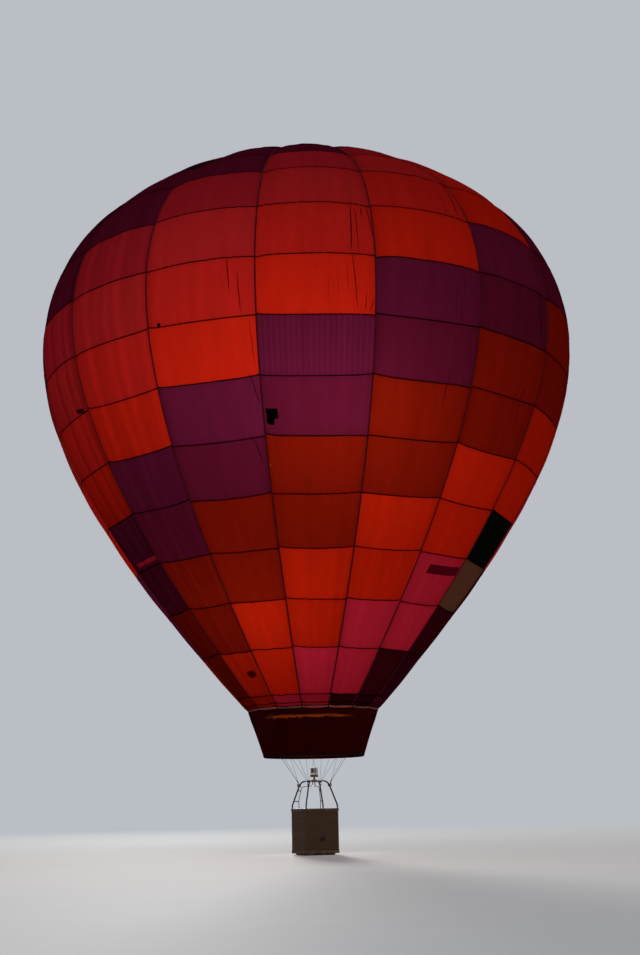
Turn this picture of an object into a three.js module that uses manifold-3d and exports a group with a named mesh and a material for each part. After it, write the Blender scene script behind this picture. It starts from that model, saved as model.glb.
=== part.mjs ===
// A hot air balloon of the late twentieth century: sixteen gores of rows of cloth sewn from the mouth to
// the vent, a parachute vent under a crown of load tapes, a skirt and flying wires below the mouth,
// a gimballed burner on four bent uprights, and a square wicker basket on three skids.
// Millimetres, +Z up. The origin is on the axis at the widest ring, where the lift acts.
// The basket's sides lie along X and Y. Directions round the axis are measured from -Y towards +X.

import * as THREE from 'three';
import * as BufferGeometryUtils from 'three/addons/utils/BufferGeometryUtils.js';
import Module from 'manifold-3d';

const wasm = await Module();
wasm.setup();

// Heights below are above the ground under the skids. This is the origin's height.
const WIDEST_HEIGHT = 14300;
const TOUCH = 0.3;

// Envelope
const GORES = 16;
const HALF_GORE = Math.PI / GORES;
const SKIN = 10;
const MOUTH_RADIUS = 1800;
const MOUTH_HEIGHT = 3880;
const CLOTH_WIDTH = 1470;
const HEM_ROW = 400;
const VENT_ROW = 14;
const GORE_COLUMNS = 4;

// One line for each row of cloth, from the mouth to the crown: the lean from upright in degrees,
// outwards first and then inwards, and how far the cloth bulges out of its chord, as a share of it.
const ROWS = [
  { lean: 44.0, bulge: 0.020 },
  { lean: 40.6, bulge: 0.024 },
  { lean: 39.2, bulge: 0.028 },
  { lean: 37.3, bulge: 0.032 },
  { lean: 33.8, bulge: 0.036 },
  { lean: 30.2, bulge: 0.040 },
  { lean: 24.1, bulge: 0.044 },
  { lean: 15.9, bulge: 0.048 },
  { lean: 3.6, bulge: 0.052 },
  { lean: -13.9, bulge: 0.055 },
  { lean: -31.6, bulge: 0.058 },
  { lean: -49.3, bulge: 0.060 },
  { lean: -57.6, bulge: 0.062 },
  { lean: -66.1, bulge: 0.064 },
  { lean: -74.4, bulge: 0.064 },
  { lean: -82.3, bulge: 0.064 },
];

// Vent and crown
const VENT_OVERLAP = 250;
const VENT_SEAT = 0.5;
const VENT_SLICES = 32;
const TAPE_WIDTH = 40;
const TAPE_THICKNESS = 3;
const TAPE_LIFT = 3.3;
const TAPE_LAP = 300;
const CROWN_RING_INNER = 120;
const CROWN_RING_OUTER = 185;
const CROWN_RING_MARGIN = 20;
const CROWN_RING_HEIGHT = 18;

// Skirt
const SKIRT_BOTTOM_HEIGHT = 2600;
const SKIRT_BOTTOM_RADIUS = 1370;
const SKIRT_SCALLOP = 45;
const SKIRT_TUCK = 40;
const HOOP_RADIUS = 8;

// Basket
const BASKET_SIDE = 1020;
const BASKET_CORNER = 110;
const WALL = 35;
const WALL_TOP = 1160;
const SKID_HEIGHT = 45;
const SKID_WIDTH = 70;
const SKID_LENGTH = 1000;
const SKID_SPACING = 330;
const FLOOR_THICKNESS = 20;
const RIM_HEIGHT = 60;
const RIM_HALF_WIDTH = 32;
const RIM_ROUNDING = 14;
const FOOT_HOLE = { width: 170, height: 120, above: 420 };

// Fuel cylinders, each in a corner of the basket
const CYLINDER_RADIUS = 152;
const CYLINDER_BODY = 800;
const CYLINDER_DOME = 70;
const CYLINDER_SHOULDER = 22;
const CYLINDER_BASE = 30;
const COLLAR_SUNK = 12;
const CYLINDER_CORNER = 308;
const COLLAR_RADIUS = 105;
const COLLAR_WALL = 6;
const COLLAR_HEIGHT = 75;
const VALVE_RADIUS = 18;
const VALVE_HEIGHT = 60;

// Uprights and burner
const UPRIGHT_RADIUS = 20;
const UPRIGHT_FOOT = 655;
const UPRIGHT_SOCKET = 90;
const UPRIGHT_BEND = { radius: 388, low: 50, high: 150 };
const PIVOT_HEIGHT = 1955;
const FRAME_RING = 215;
const FRAME_TUBE = 14;
const GIMBAL_RING = 165;
const GIMBAL_TUBE = 11;
const PIN_RADIUS = 6;
const PIN_HOLE = 6.9;
const LUG = { inner: 395, outer: 500, bottom: 1800, top: 1880, thickness: 14 };
const LINK = { across: 64, deep: 40, tall: 40, place: 474, spacing: 10 };
const WIRE_RADIUS = 4;
const THIMBLE_RADIUS = 12;
const THIMBLE_ABOVE_HEM = 15;
const BLOCK = { x: 120, y: 96, z: 70 };
const STEM_RADIUS = 30;
const SHROUD_RADIUS = 104;
const SHROUD_BOTTOM = 2062;
const SHROUD_TOP = 2132;
const COIL_RADIUS = 97;
const COIL_TUBE = 7.5;
const COIL_BOTTOM = 2160;
const COIL_TOP = 2303;
const COIL_TURNS = 5;
const COIL_RETURN = { turn: 0.12, dip: 6, straight: 40 };
const VALVE_BODY = { radius: 14, length: 40, y: -30 };
const VALVE_LEVER = { x: 18, y: 10, z: 110, below: 80 };
const KNOB = { radius: 14, length: 24, x: 36, z: 12 };
const HOSE_RADIUS = 9;
const INLET = { x: 38, y: 34, radius: 9, length: 20, sunk: 10 };
const HOSE_END_DROP = 77;

// One line for each bend of a fuel hose inside its upright, from the cylinder's valve upwards
const HOSE_BENDS = [
  { radius: CYLINDER_CORNER * Math.SQRT2, height: 1120 },
  { radius: 470, height: 1400 },
  { radius: 372, height: 1800 },
];
const HOSE_TURN_UP = 1830;
const HOSE_CUT_BACKS = [60, 60, 60, 30];

const part = new THREE.Group();

function above(height) {
  return height - WIDEST_HEIGHT;
}

function finish(color, roughness, metalness = 0) {
  return new THREE.MeshStandardMaterial({ color, roughness, metalness });
}

const SCARLET_CLOTH = finish(0xb81a08, 0.75);
const PURPLE_CLOTH = finish(0x551030, 0.75);
const SKIRT_CLOTH = finish(0x3a0508, 0.8);
const WEBBING = finish(0x2a0a0a, 0.85);
const ALLOY = finish(0xb4b6ba, 0.4, 1);
const STEEL = finish(0x8c8a86, 0.35, 1);
const BRASS = finish(0xa8843c, 0.4, 1);
const PADDING = finish(0x1c1c20, 0.8);
const WICKER = finish(0x8a5a2c, 0.8);
const LEATHER = finish(0x4a2a16, 0.6);
const PLYWOOD = finish(0xa07a4a, 0.7);
const HARDWOOD = finish(0x6a4a2a, 0.75);
const RUBBER = finish(0x141414, 0.6);

function place(name, geometry, material, height = 0, turn = 0) {
  const mesh = new THREE.Mesh(geometry, material);
  mesh.name = name;
  mesh.position.z = height;
  mesh.rotation.z = turn;
  part.add(mesh);
  return mesh;
}

// Closed surfaces from loops of points, and solids to cut and join

function signedVolume(points, faces) {
  let volume = 0;
  for (const [a, b, c] of faces) {
    volume += points[a].dot(points[b].clone().cross(points[c])) / 6;
  }
  return volume;
}

// Joins each loop to the next. The run is closed on itself, or capped between a loop's two halves.
function loft(loops, closed) {
  const count = loops[0].length;
  const points = loops.flat();
  const faces = [];
  const quad = (a, b, c, d) => faces.push([a, b, c], [a, c, d]);
  const last = closed ? loops.length : loops.length - 1;
  for (let i = 0; i < last; i += 1) {
    const here = i * count;
    const next = ((i + 1) % loops.length) * count;
    for (let k = 0; k < count; k += 1) {
      const k1 = (k + 1) % count;
      quad(here + k, here + k1, next + k1, next + k);
    }
  }
  if (!closed) {
    const end = (loops.length - 1) * count;
    for (let k = 0; k < count / 2 - 1; k += 1) {
      quad(k, count - 1 - k, count - 2 - k, k + 1);
      quad(end + k, end + k + 1, end + count - 2 - k, end + count - 1 - k);
    }
  }
  if (signedVolume(points, faces) < 0) {
    faces.forEach((face) => face.reverse());
  }
  const geometry = new THREE.BufferGeometry();
  geometry.setAttribute('position', new THREE.Float32BufferAttribute(points.flatMap((p) => p.toArray()), 3));
  geometry.setIndex(faces.flat());
  return geometry;
}

function toSolid(geometry) {
  const bare = geometry.clone();
  bare.deleteAttribute('normal');
  bare.deleteAttribute('uv');
  const merged = BufferGeometryUtils.mergeVertices(bare, 1e-3);
  const vertProperties = Float32Array.from(merged.attributes.position.array);
  const triVerts = Uint32Array.from(merged.index.array);
  return new wasm.Manifold(new wasm.Mesh({ numProp: 3, vertProperties, triVerts }));
}

function toGeometry(solid) {
  const mesh = solid.getMesh();
  const geometry = new THREE.BufferGeometry();
  geometry.setAttribute('position', new THREE.BufferAttribute(mesh.vertProperties, 3));
  geometry.setIndex(new THREE.BufferAttribute(mesh.triVerts, 1));
  return geometry;
}

function join(...geometries) {
  return toGeometry(geometries.map(toSolid).reduce((whole, next) => whole.add(next)));
}

function cut(geometry, ...tools) {
  return toGeometry(tools.map(toSolid).reduce((whole, tool) => whole.subtract(tool), toSolid(geometry)));
}

// A shape turned round the Z axis. Each profile point is [radius, height], anticlockwise.
function turned(profile, slices, start = 0) {
  const points = profile.map(([radius, height]) => new THREE.Vector2(radius, height));
  return new THREE.LatheGeometry(points, slices, start).rotateX(Math.PI / 2);
}

function torus(radius, tube, slices, sides) {
  const profile = [];
  for (let k = 0; k <= sides; k += 1) {
    const angle = (k % sides) / sides * 2 * Math.PI;
    profile.push([radius + tube * Math.cos(angle), tube * Math.sin(angle)]);
  }
  return turned(profile, slices);
}

function rod(radius, length, sides, axis) {
  const geometry = new THREE.CylinderGeometry(radius, radius, length, sides);
  if (axis === 'x') geometry.rotateZ(Math.PI / 2);
  if (axis === 'z') geometry.rotateX(Math.PI / 2);
  return geometry;
}

function circle(radius, sides) {
  const shape = new THREE.Shape();
  for (let k = 0; k < sides; k += 1) {
    const angle = k / sides * 2 * Math.PI;
    const x = radius * Math.cos(angle);
    const y = radius * Math.sin(angle);
    if (k === 0) shape.moveTo(x, y);
    else shape.lineTo(x, y);
  }
  shape.closePath();
  return shape;
}

function tube(path, radius, steps, sides = 8) {
  return new THREE.ExtrudeGeometry(circle(radius, sides), { steps, extrudePath: path, bevelEnabled: false });
}

// A six-sided rod from one point towards another, whose radius changes at the given stations.
function swelledRod(from, to, stations) {
  const along = to.clone().sub(from).normalize();
  const side = new THREE.Vector3().crossVectors(along, new THREE.Vector3(0, 0, 1)).normalize();
  const lift = new THREE.Vector3().crossVectors(side, along);
  const loops = stations.map(({ beforeEnd, radius }) => {
    const centre = to.clone().addScaledVector(along, -beforeEnd);
    const loop = [];
    for (let k = 0; k < 6; k += 1) {
      const angle = k / 6 * 2 * Math.PI;
      const out = side.clone().multiplyScalar(radius * Math.cos(angle));
      loop.push(centre.clone().add(out).addScaledVector(lift, radius * Math.sin(angle)));
    }
    return loop;
  });
  return loft(loops, false);
}

// A run of straight lines whose corners are rounded off, each by its own cut-back.
function bentPath(points, cutBacks) {
  const path = new THREE.CurvePath();
  let from = points[0];
  for (let i = 1; i < points.length - 1; i += 1) {
    const corner = points[i];
    const back = cutBacks[i - 1];
    const enter = corner.clone().add(points[i - 1].clone().sub(corner).setLength(back));
    const leave = corner.clone().add(points[i + 1].clone().sub(corner).setLength(back));
    path.add(new THREE.LineCurve3(from, enter));
    path.add(new THREE.QuadraticBezierCurve3(enter, corner, leave));
    from = leave;
  }
  path.add(new THREE.LineCurve3(from, points[points.length - 1]));
  return path;
}

// A point at a radius and height, in a direction measured from -Y towards +X.
function polar(radius, height, angle) {
  return new THREE.Vector3(radius * Math.sin(angle), -radius * Math.cos(angle), height);
}

// The envelope's meridian: one ring at each seam between rows, and its skin's inner face.

function meridian() {
  const rings = [{ radius: MOUTH_RADIUS, height: above(MOUTH_HEIGHT) }];
  ROWS.forEach(({ lean }, i) => {
    const slant = i === 0 ? HEM_ROW : CLOTH_WIDTH;
    const angle = THREE.MathUtils.degToRad(lean);
    const { radius, height } = rings[i];
    rings.push({
      radius: radius + slant * Math.sin(angle),
      height: height + slant * Math.cos(angle),
    });
  });
  rings.forEach((ring, i) => {
    const below = ROWS[Math.max(i - 1, 0)];
    const over = ROWS[Math.min(i, ROWS.length - 1)];
    const lean = THREE.MathUtils.degToRad((below.lean + over.lean) / 2);
    ring.outwards = Math.cos(lean);
    ring.upwards = -Math.sin(lean);
    ring.bulge = over.bulge;
  });
  return rings;
}

const RINGS = meridian();

function inset(ring, depth) {
  return {
    ...ring,
    radius: ring.radius - depth * ring.outwards,
    height: ring.height - depth * ring.upwards,
  };
}

// The ring that lies some way down the row below ring i.
function partWayDown(i, distance) {
  const share = distance / CLOTH_WIDTH;
  const top = RINGS[i];
  const bottom = RINGS[i - 1];
  const mix = (key) => top[key] + (bottom[key] - top[key]) * share;
  const lean = THREE.MathUtils.degToRad(ROWS[i - 1].lean);
  return {
    radius: mix('radius'),
    height: mix('height'),
    bulge: mix('bulge'),
    outwards: Math.cos(lean),
    upwards: -Math.sin(lean),
  };
}

// Gores: one long panel each, bulged between its two load tapes

function goreLine(ring, chord) {
  const line = [];
  for (let k = 0; k <= GORE_COLUMNS; k += 1) {
    const across = 2 * k / GORE_COLUMNS - 1;
    const swell = ring.bulge * chord * (1 - across * across);
    const edge = Math.abs(across) === 1 ? TOUCH / 2 : 0;
    const x = across * (ring.radius * Math.sin(HALF_GORE) - edge * Math.cos(HALF_GORE));
    const out = ring.radius * Math.cos(HALF_GORE) + edge * Math.sin(HALF_GORE) + swell * ring.outwards;
    line.push(new THREE.Vector3(x, -out, ring.height + swell * ring.upwards));
  }
  return line;
}

function goreGeometry() {
  const loops = RINGS.slice(0, VENT_ROW + 1).map((ring) => {
    const chord = 2 * ring.radius * Math.sin(HALF_GORE);
    return [...goreLine(ring, chord), ...goreLine(inset(ring, SKIN), chord).reverse()];
  });
  return loft(loops, false);
}

const GORE = goreGeometry();
for (let i = 0; i < GORES; i += 1) {
  const name = `gore_${String(i + 1).padStart(2, '0')}`;
  place(name, GORE, i % 3 === 2 ? PURPLE_CLOTH : SCARLET_CLOTH, 0, i * 2 * HALF_GORE);
}

// Parachute vent: a round dome that lies against the top of the gores from inside

function ventGeometry() {
  const rim = partWayDown(VENT_ROW, VENT_OVERLAP);
  const line = [rim, ...RINGS.slice(VENT_ROW, VENT_ROW + 2)];
  const upper = line.map((ring) => inset(ring, SKIN + VENT_SEAT));
  const lower = line.map((ring) => inset(ring, 2 * SKIN + VENT_SEAT));
  const crown = inset(RINGS[RINGS.length - 1], SKIN + VENT_SEAT).height;
  const pair = ({ radius, height }) => [radius, height];
  const profile = [
    [0, crown - SKIN],
    ...lower.reverse().map(pair),
    ...upper.map(pair),
    [0, crown],
  ];
  return turned(profile, VENT_SLICES, HALF_GORE);
}

place('parachute_vent', ventGeometry(), PURPLE_CLOTH);

// Load tapes over the vent, from the gores' top edge to the crown's sewn ring

function tapeGeometry(angle) {
  const start = partWayDown(VENT_ROW, TAPE_LAP);
  const end = { ...RINGS[RINGS.length - 1], radius: (CROWN_RING_INNER + CROWN_RING_OUTER) / 2 };
  const line = [start, RINGS[VENT_ROW], RINGS[VENT_ROW + 1], end];
  const across = new THREE.Vector3(Math.cos(angle), Math.sin(angle), 0).multiplyScalar(TAPE_WIDTH / 2);
  const loops = line.map((ring) => {
    const low = inset(ring, -TAPE_LIFT);
    const high = inset(ring, -TAPE_LIFT - TAPE_THICKNESS);
    const bottom = polar(low.radius, low.height, angle);
    const top = polar(high.radius, high.height, angle);
    return [
      bottom.clone().sub(across),
      bottom.clone().add(across),
      top.clone().add(across),
      top.clone().sub(across),
    ];
  });
  return loft(loops, false);
}

function crownTapes() {
  const top = RINGS[RINGS.length - 1].height + TAPE_LIFT + TAPE_THICKNESS;
  const bottom = top - 2 * TAPE_THICKNESS;
  const sewnRing = turned([
    [CROWN_RING_INNER, bottom],
    [CROWN_RING_OUTER, bottom],
    [CROWN_RING_OUTER, top],
    [CROWN_RING_INNER, top],
    [CROWN_RING_INNER, bottom],
  ], 32);
  const tapes = [];
  for (let i = 0; i < GORES; i += 1) {
    tapes.push(tapeGeometry((2 * i + 1) * HALF_GORE));
  }
  return { geometry: join(sewnRing, ...tapes), top };
}

const CROWN = crownTapes();
place('crown_tapes', CROWN.geometry, WEBBING);
place('crown_ring', turned([
  [CROWN_RING_INNER, 0],
  [CROWN_RING_OUTER - CROWN_RING_MARGIN, 0],
  [CROWN_RING_OUTER - CROWN_RING_MARGIN, CROWN_RING_HEIGHT],
  [CROWN_RING_INNER, CROWN_RING_HEIGHT],
  [CROWN_RING_INNER, 0],
], 24), ALLOY, CROWN.top + TOUCH);

// Skirt: hangs from the hem at each tape, with its top edge scalloped between, and a hoop in its bottom

function skirtGeometry() {
  const bottom = above(SKIRT_BOTTOM_HEIGHT);
  const loops = [];
  for (let i = 0; i < 2 * GORES; i += 1) {
    const atTape = i % 2 === 1;
    const angle = i * HALF_GORE;
    const drop = atTape ? TOUCH : SKIRT_SCALLOP;
    const radius = MOUTH_RADIUS - (atTape ? 1 : SKIRT_TUCK);
    const top = above(MOUTH_HEIGHT) - drop;
    loops.push([
      polar(SKIRT_BOTTOM_RADIUS, bottom, angle),
      polar(radius, top, angle),
      polar(radius - SKIN, top, angle),
      polar(SKIRT_BOTTOM_RADIUS - SKIN, bottom, angle),
    ]);
  }
  return loft(loops, true);
}

place('skirt', skirtGeometry(), SKIRT_CLOTH);

const skirtFlare = (MOUTH_RADIUS - SKIRT_TUCK - SKIRT_BOTTOM_RADIUS) / (MOUTH_HEIGHT - SKIRT_BOTTOM_HEIGHT);
const hoopCentre = SKIRT_BOTTOM_RADIUS - SKIN - HOOP_RADIUS * (1 - skirtFlare) - TOUCH;
place(
  'skirt_hoop',
  torus(hoopCentre, HOOP_RADIUS, 2 * GORES, 6),
  STEEL,
  above(SKIRT_BOTTOM_HEIGHT) + HOOP_RADIUS,
);

// Flying wires: four tapes' wires run to one link over each basket corner

// A wire leaves the link at its own place beside the others, so that the four fan out and never meet.
function wireGeometry(corner, step) {
  const tapeAngle = corner + step * HALF_GORE;
  const low = RINGS[0];
  const high = RINGS[1];
  const share = THIMBLE_ABOVE_HEM / HEM_ROW;
  const seat = inset({
    radius: low.radius + (high.radius - low.radius) * share,
    height: low.height + (high.height - low.height) * share,
    outwards: Math.cos(THREE.MathUtils.degToRad(ROWS[0].lean)),
    upwards: -Math.sin(THREE.MathUtils.degToRad(ROWS[0].lean)),
  }, SKIN + THIMBLE_RADIUS);
  const top = polar(seat.radius, seat.height, tapeAngle);
  const across = new THREE.Vector3(Math.cos(corner), Math.sin(corner), 0);
  const bottom = linkCentre(corner).add(across.multiplyScalar(step / 2 * LINK.spacing));
  return swelledRod(bottom, top, [
    { beforeEnd: bottom.distanceTo(top), radius: WIRE_RADIUS },
    { beforeEnd: 2 * THIMBLE_RADIUS, radius: WIRE_RADIUS },
    { beforeEnd: THIMBLE_RADIUS, radius: 0.65 * THIMBLE_RADIUS },
    { beforeEnd: 0, radius: THIMBLE_RADIUS },
    { beforeEnd: -THIMBLE_RADIUS / 2, radius: WIRE_RADIUS },
  ]);
}

function linkCentre(corner) {
  return polar(LINK.place, above(LUG.top) + TOUCH + LINK.tall / 2, corner);
}

function wireGroup(corner) {
  const centre = linkCentre(corner);
  const link = new THREE.BoxGeometry(LINK.across, LINK.deep, LINK.tall).rotateZ(corner);
  const wires = [-3, -1, 1, 3].map((step) => wireGeometry(corner, step));
  return join(link.translate(centre.x, centre.y, centre.z), ...wires);
}

const CORNERS = [
  { name: 'front_right', angle: Math.PI / 4 },
  { name: 'back_right', angle: 3 * Math.PI / 4 },
  { name: 'back_left', angle: 5 * Math.PI / 4 },
  { name: 'front_left', angle: 7 * Math.PI / 4 },
];

for (const { name, angle } of CORNERS) {
  place(`flying_wires_${name}`, wireGroup(angle), STEEL);
}

// Uprights: padded tubes from the basket's rim, bent inwards to the burner's ring, each with a lug

const RIM_TOP = WALL_TOP + RIM_HEIGHT + TOUCH;

function uprightGeometry(corner) {
  const ringFace = FRAME_RING + FRAME_TUBE + TOUCH;
  const path = bentPath([
    polar(UPRIGHT_FOOT, above(RIM_TOP + TOUCH), corner),
    polar(UPRIGHT_FOOT, above(RIM_TOP + UPRIGHT_SOCKET), corner),
    polar(UPRIGHT_BEND.radius, above(PIVOT_HEIGHT), corner),
    polar(ringFace, above(PIVOT_HEIGHT), corner),
  ], [UPRIGHT_BEND.low, UPRIGHT_BEND.high]);
  const across = new THREE.BoxGeometry(LUG.thickness, LUG.outer - LUG.inner, LUG.top - LUG.bottom);
  const lug = across.rotateZ(corner);
  const middle = polar((LUG.inner + LUG.outer) / 2, above((LUG.top + LUG.bottom) / 2), corner);
  return join(tube(path, UPRIGHT_RADIUS, 12), lug.translate(middle.x, middle.y, middle.z));
}

for (const { name, angle } of CORNERS) {
  place(`upright_${name}`, uprightGeometry(angle), PADDING);
}

// Burner ring, gimbal and burner, about one centre

const PIVOT = above(PIVOT_HEIGHT);
const pinHoles = rod(PIN_HOLE, 2 * FRAME_RING + 80, 12, 'x');
place('burner_ring', cut(torus(FRAME_RING, FRAME_TUBE, 24, 6), pinHoles), STEEL, PIVOT);

function gimbalGeometry() {
  const pinEnd = FRAME_RING + FRAME_TUBE / 2;
  const pins = [-1, 1].map((side) => {
    const length = pinEnd - GIMBAL_RING;
    return rod(PIN_RADIUS, length, 12, 'x').translate(side * (GIMBAL_RING + length / 2), 0, 0);
  });
  const ring = join(torus(GIMBAL_RING, GIMBAL_TUBE, 24, 6), ...pins);
  return cut(ring, rod(PIN_HOLE, 2 * GIMBAL_RING + 80, 12, 'y'));
}

place('gimbal_ring', gimbalGeometry(), ALLOY, PIVOT);

function burnerBlock() {
  const body = new THREE.BoxGeometry(BLOCK.x, BLOCK.y, BLOCK.z);
  const trunnions = rod(PIN_RADIUS, 2 * (GIMBAL_RING + GIMBAL_TUBE / 2), 12, 'y');
  const stemLength = SHROUD_BOTTOM - PIVOT_HEIGHT - TOUCH;
  const stem = rod(STEM_RADIUS, stemLength, 16, 'z').translate(0, 0, stemLength / 2);
  const inlets = [-1, 1].map((side) => {
    const inlet = rod(INLET.radius, INLET.length + INLET.sunk, 10, 'z');
    const middle = -BLOCK.z / 2 - (INLET.length - INLET.sunk) / 2;
    return inlet.translate(side * INLET.x, INLET.y, middle);
  });
  return join(body, trunnions, stem, ...inlets);
}

place('burner_block', burnerBlock(), BRASS, PIVOT);
place(
  'burner_shroud',
  rod(SHROUD_RADIUS, SHROUD_TOP - SHROUD_BOTTOM, 24, 'z'),
  STEEL,
  above((SHROUD_TOP + SHROUD_BOTTOM) / 2),
);

// The coil stands on the shroud on its two ends, one outside and one inside its turns.
function coilPath() {
  const foot = above(SHROUD_TOP + TOUCH);
  const points = [new THREE.Vector3(COIL_RADIUS, 0, foot)];
  const stepsPerTurn = 8;
  const steps = COIL_TURNS * stepsPerTurn;
  for (let k = 0; k <= steps; k += 1) {
    const angle = k / stepsPerTurn * 2 * Math.PI;
    const height = above(COIL_BOTTOM) + (COIL_TOP - COIL_BOTTOM) * k / steps;
    points.push(new THREE.Vector3(COIL_RADIUS * Math.cos(angle), COIL_RADIUS * Math.sin(angle), height));
  }
  const inside = COIL_RADIUS - 3 * COIL_TUBE;
  const over = COIL_RETURN.turn * 2 * Math.PI;
  const turnedIn = new THREE.Vector3(inside * Math.cos(over), inside * Math.sin(over), 0);
  points.push(turnedIn.clone().setZ(above(COIL_TOP - COIL_RETURN.dip)));
  points.push(turnedIn.clone().setZ(above(COIL_TOP - COIL_RETURN.straight)));
  points.push(turnedIn.clone().setZ(above((COIL_TOP + SHROUD_TOP) / 2)));
  points.push(turnedIn.clone().setZ(foot));
  return new THREE.CatmullRomCurve3(points);
}

place('burner_coil', tube(coilPath(), COIL_TUBE, 54, 6), STEEL);

// Blast valve lever and pilot light knob, on the block's front
function blastValve() {
  const { radius, length, y } = VALVE_BODY;
  const underside = -BLOCK.z / 2;
  const body = rod(radius, length, 12, 'z').translate(0, y, underside - TOUCH - length / 2);
  const lever = new THREE.BoxGeometry(VALVE_LEVER.x, VALVE_LEVER.y, VALVE_LEVER.z);
  return join(body, lever.translate(0, y, underside - VALVE_LEVER.below));
}

place('blast_valve', blastValve(), STEEL, PIVOT);
const knob = rod(KNOB.radius, KNOB.length, 12, 'y');
knob.translate(KNOB.x, -BLOCK.y / 2 - TOUCH - KNOB.length / 2, KNOB.z);
place('pilot_knob', knob, BRASS, PIVOT);

// Basket: skids, floor, four woven walls mitred in the corners, and a padded rim

for (const [side, name] of [[-1, 'left'], [0, 'middle'], [1, 'right']]) {
  const skid = new THREE.BoxGeometry(SKID_WIDTH, SKID_LENGTH, SKID_HEIGHT);
  skid.translate(side * SKID_SPACING, 0, 0);
  place(`skid_${name}`, skid, HARDWOOD, above(SKID_HEIGHT / 2));
}

function roundedSquare(side, corner, target = new THREE.Shape()) {
  const half = side / 2;
  const flat = half - corner;
  target.moveTo(-flat, -half);
  target.lineTo(flat, -half);
  target.absarc(flat, -flat, corner, -Math.PI / 2, 0);
  target.lineTo(half, flat);
  target.absarc(flat, flat, corner, 0, Math.PI / 2);
  target.lineTo(-flat, half);
  target.absarc(-flat, flat, corner, Math.PI / 2, Math.PI);
  target.lineTo(-half, -flat);
  target.absarc(-flat, -flat, corner, Math.PI, 3 * Math.PI / 2);
  return target;
}

const inner = BASKET_SIDE - 2 * WALL;
const floorShape = roundedSquare(inner - 2 * TOUCH, BASKET_CORNER - WALL - TOUCH);
place(
  'basket_floor',
  new THREE.ExtrudeGeometry(floorShape, { depth: FLOOR_THICKNESS, bevelEnabled: false, curveSegments: 4 }),
  PLYWOOD,
  above(SKID_HEIGHT + TOUCH),
);

function wallGeometry(withFootHole) {
  const half = BASKET_SIDE / 2;
  const flat = half - BASKET_CORNER;
  const innerCorner = BASKET_CORNER - WALL;
  const trim = TOUCH / 2 / innerCorner;
  const straightDown = -Math.PI / 2;
  const mitre = Math.PI / 4 - trim;
  const shape = new THREE.Shape();
  shape.absarc(-flat, -flat, BASKET_CORNER, straightDown - mitre, straightDown, false);
  shape.absarc(flat, -flat, BASKET_CORNER, straightDown, straightDown + mitre, false);
  shape.absarc(flat, -flat, innerCorner, straightDown + mitre, straightDown, true);
  shape.absarc(-flat, -flat, innerCorner, straightDown, straightDown - mitre, true);
  shape.closePath();
  const depth = WALL_TOP - SKID_HEIGHT - TOUCH;
  const wall = new THREE.ExtrudeGeometry(shape, { depth, bevelEnabled: false, curveSegments: 4 });
  if (!withFootHole) return wall;
  const hole = new THREE.BoxGeometry(FOOT_HOLE.width, 3 * WALL, FOOT_HOLE.height);
  const height = FOOT_HOLE.above - SKID_HEIGHT;
  return cut(wall, hole.translate(0, -half + WALL / 2, height));
}

const WALLS = [
  { name: 'wall_front', turn: 0, footHole: true },
  { name: 'wall_right', turn: 1, footHole: false },
  { name: 'wall_back', turn: 2, footHole: true },
  { name: 'wall_left', turn: 3, footHole: false },
];
for (const { name, turn, footHole } of WALLS) {
  place(name, wallGeometry(footHole), WICKER, above(SKID_HEIGHT + TOUCH), turn * Math.PI / 2);
}

function rimGeometry() {
  const middle = BASKET_SIDE - WALL;
  const corner = BASKET_CORNER - WALL / 2;
  const spread = RIM_HALF_WIDTH - RIM_ROUNDING;
  const shape = roundedSquare(middle + 2 * spread, corner + spread);
  shape.holes.push(roundedSquare(middle - 2 * spread, corner - spread, new THREE.Path()));
  return new THREE.ExtrudeGeometry(shape, {
    depth: RIM_HEIGHT - 2 * RIM_ROUNDING,
    bevelThickness: RIM_ROUNDING,
    bevelSize: RIM_ROUNDING,
    bevelSegments: 1,
    curveSegments: 4,
  });
}

place('basket_rim', rimGeometry(), LEATHER, above(WALL_TOP + TOUCH + RIM_ROUNDING));

// Fuel cylinders: a domed body, a guard collar and a valve, standing on the floor

const CYLINDER_FOOT = SKID_HEIGHT + TOUCH + FLOOR_THICKNESS + TOUCH;

function cylinderGeometry() {
  const top = CYLINDER_BODY;
  const body = turned([
    [0, 0],
    [CYLINDER_RADIUS - CYLINDER_SHOULDER, 0],
    [CYLINDER_RADIUS, CYLINDER_BASE],
    [CYLINDER_RADIUS, top - CYLINDER_DOME],
    [CYLINDER_RADIUS - CYLINDER_SHOULDER, top - CYLINDER_DOME / 3],
    [COLLAR_RADIUS, top - COLLAR_SUNK],
    [COLLAR_RADIUS, top + COLLAR_HEIGHT],
    [COLLAR_RADIUS - COLLAR_WALL, top + COLLAR_HEIGHT],
    [COLLAR_RADIUS - COLLAR_WALL, top],
    [VALVE_RADIUS, top],
    [VALVE_RADIUS, top + VALVE_HEIGHT],
    [0, top + VALVE_HEIGHT],
  ], 20);
  return body;
}

const CYLINDERS = [
  { name: 'cylinder_back_right', x: 1, y: 1 },
  { name: 'cylinder_back_left', x: -1, y: 1 },
  { name: 'cylinder_front_left', x: -1, y: -1 },
];
for (const { name, x, y } of CYLINDERS) {
  const cylinder = place(name, cylinderGeometry(), ALLOY, above(CYLINDER_FOOT));
  cylinder.position.x = x * CYLINDER_CORNER;
  cylinder.position.y = y * CYLINDER_CORNER;
}

// Fuel hoses: from the two back cylinders' valves up along the uprights to just under the inlets,
// with room for the burner to tilt over their ends

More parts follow.
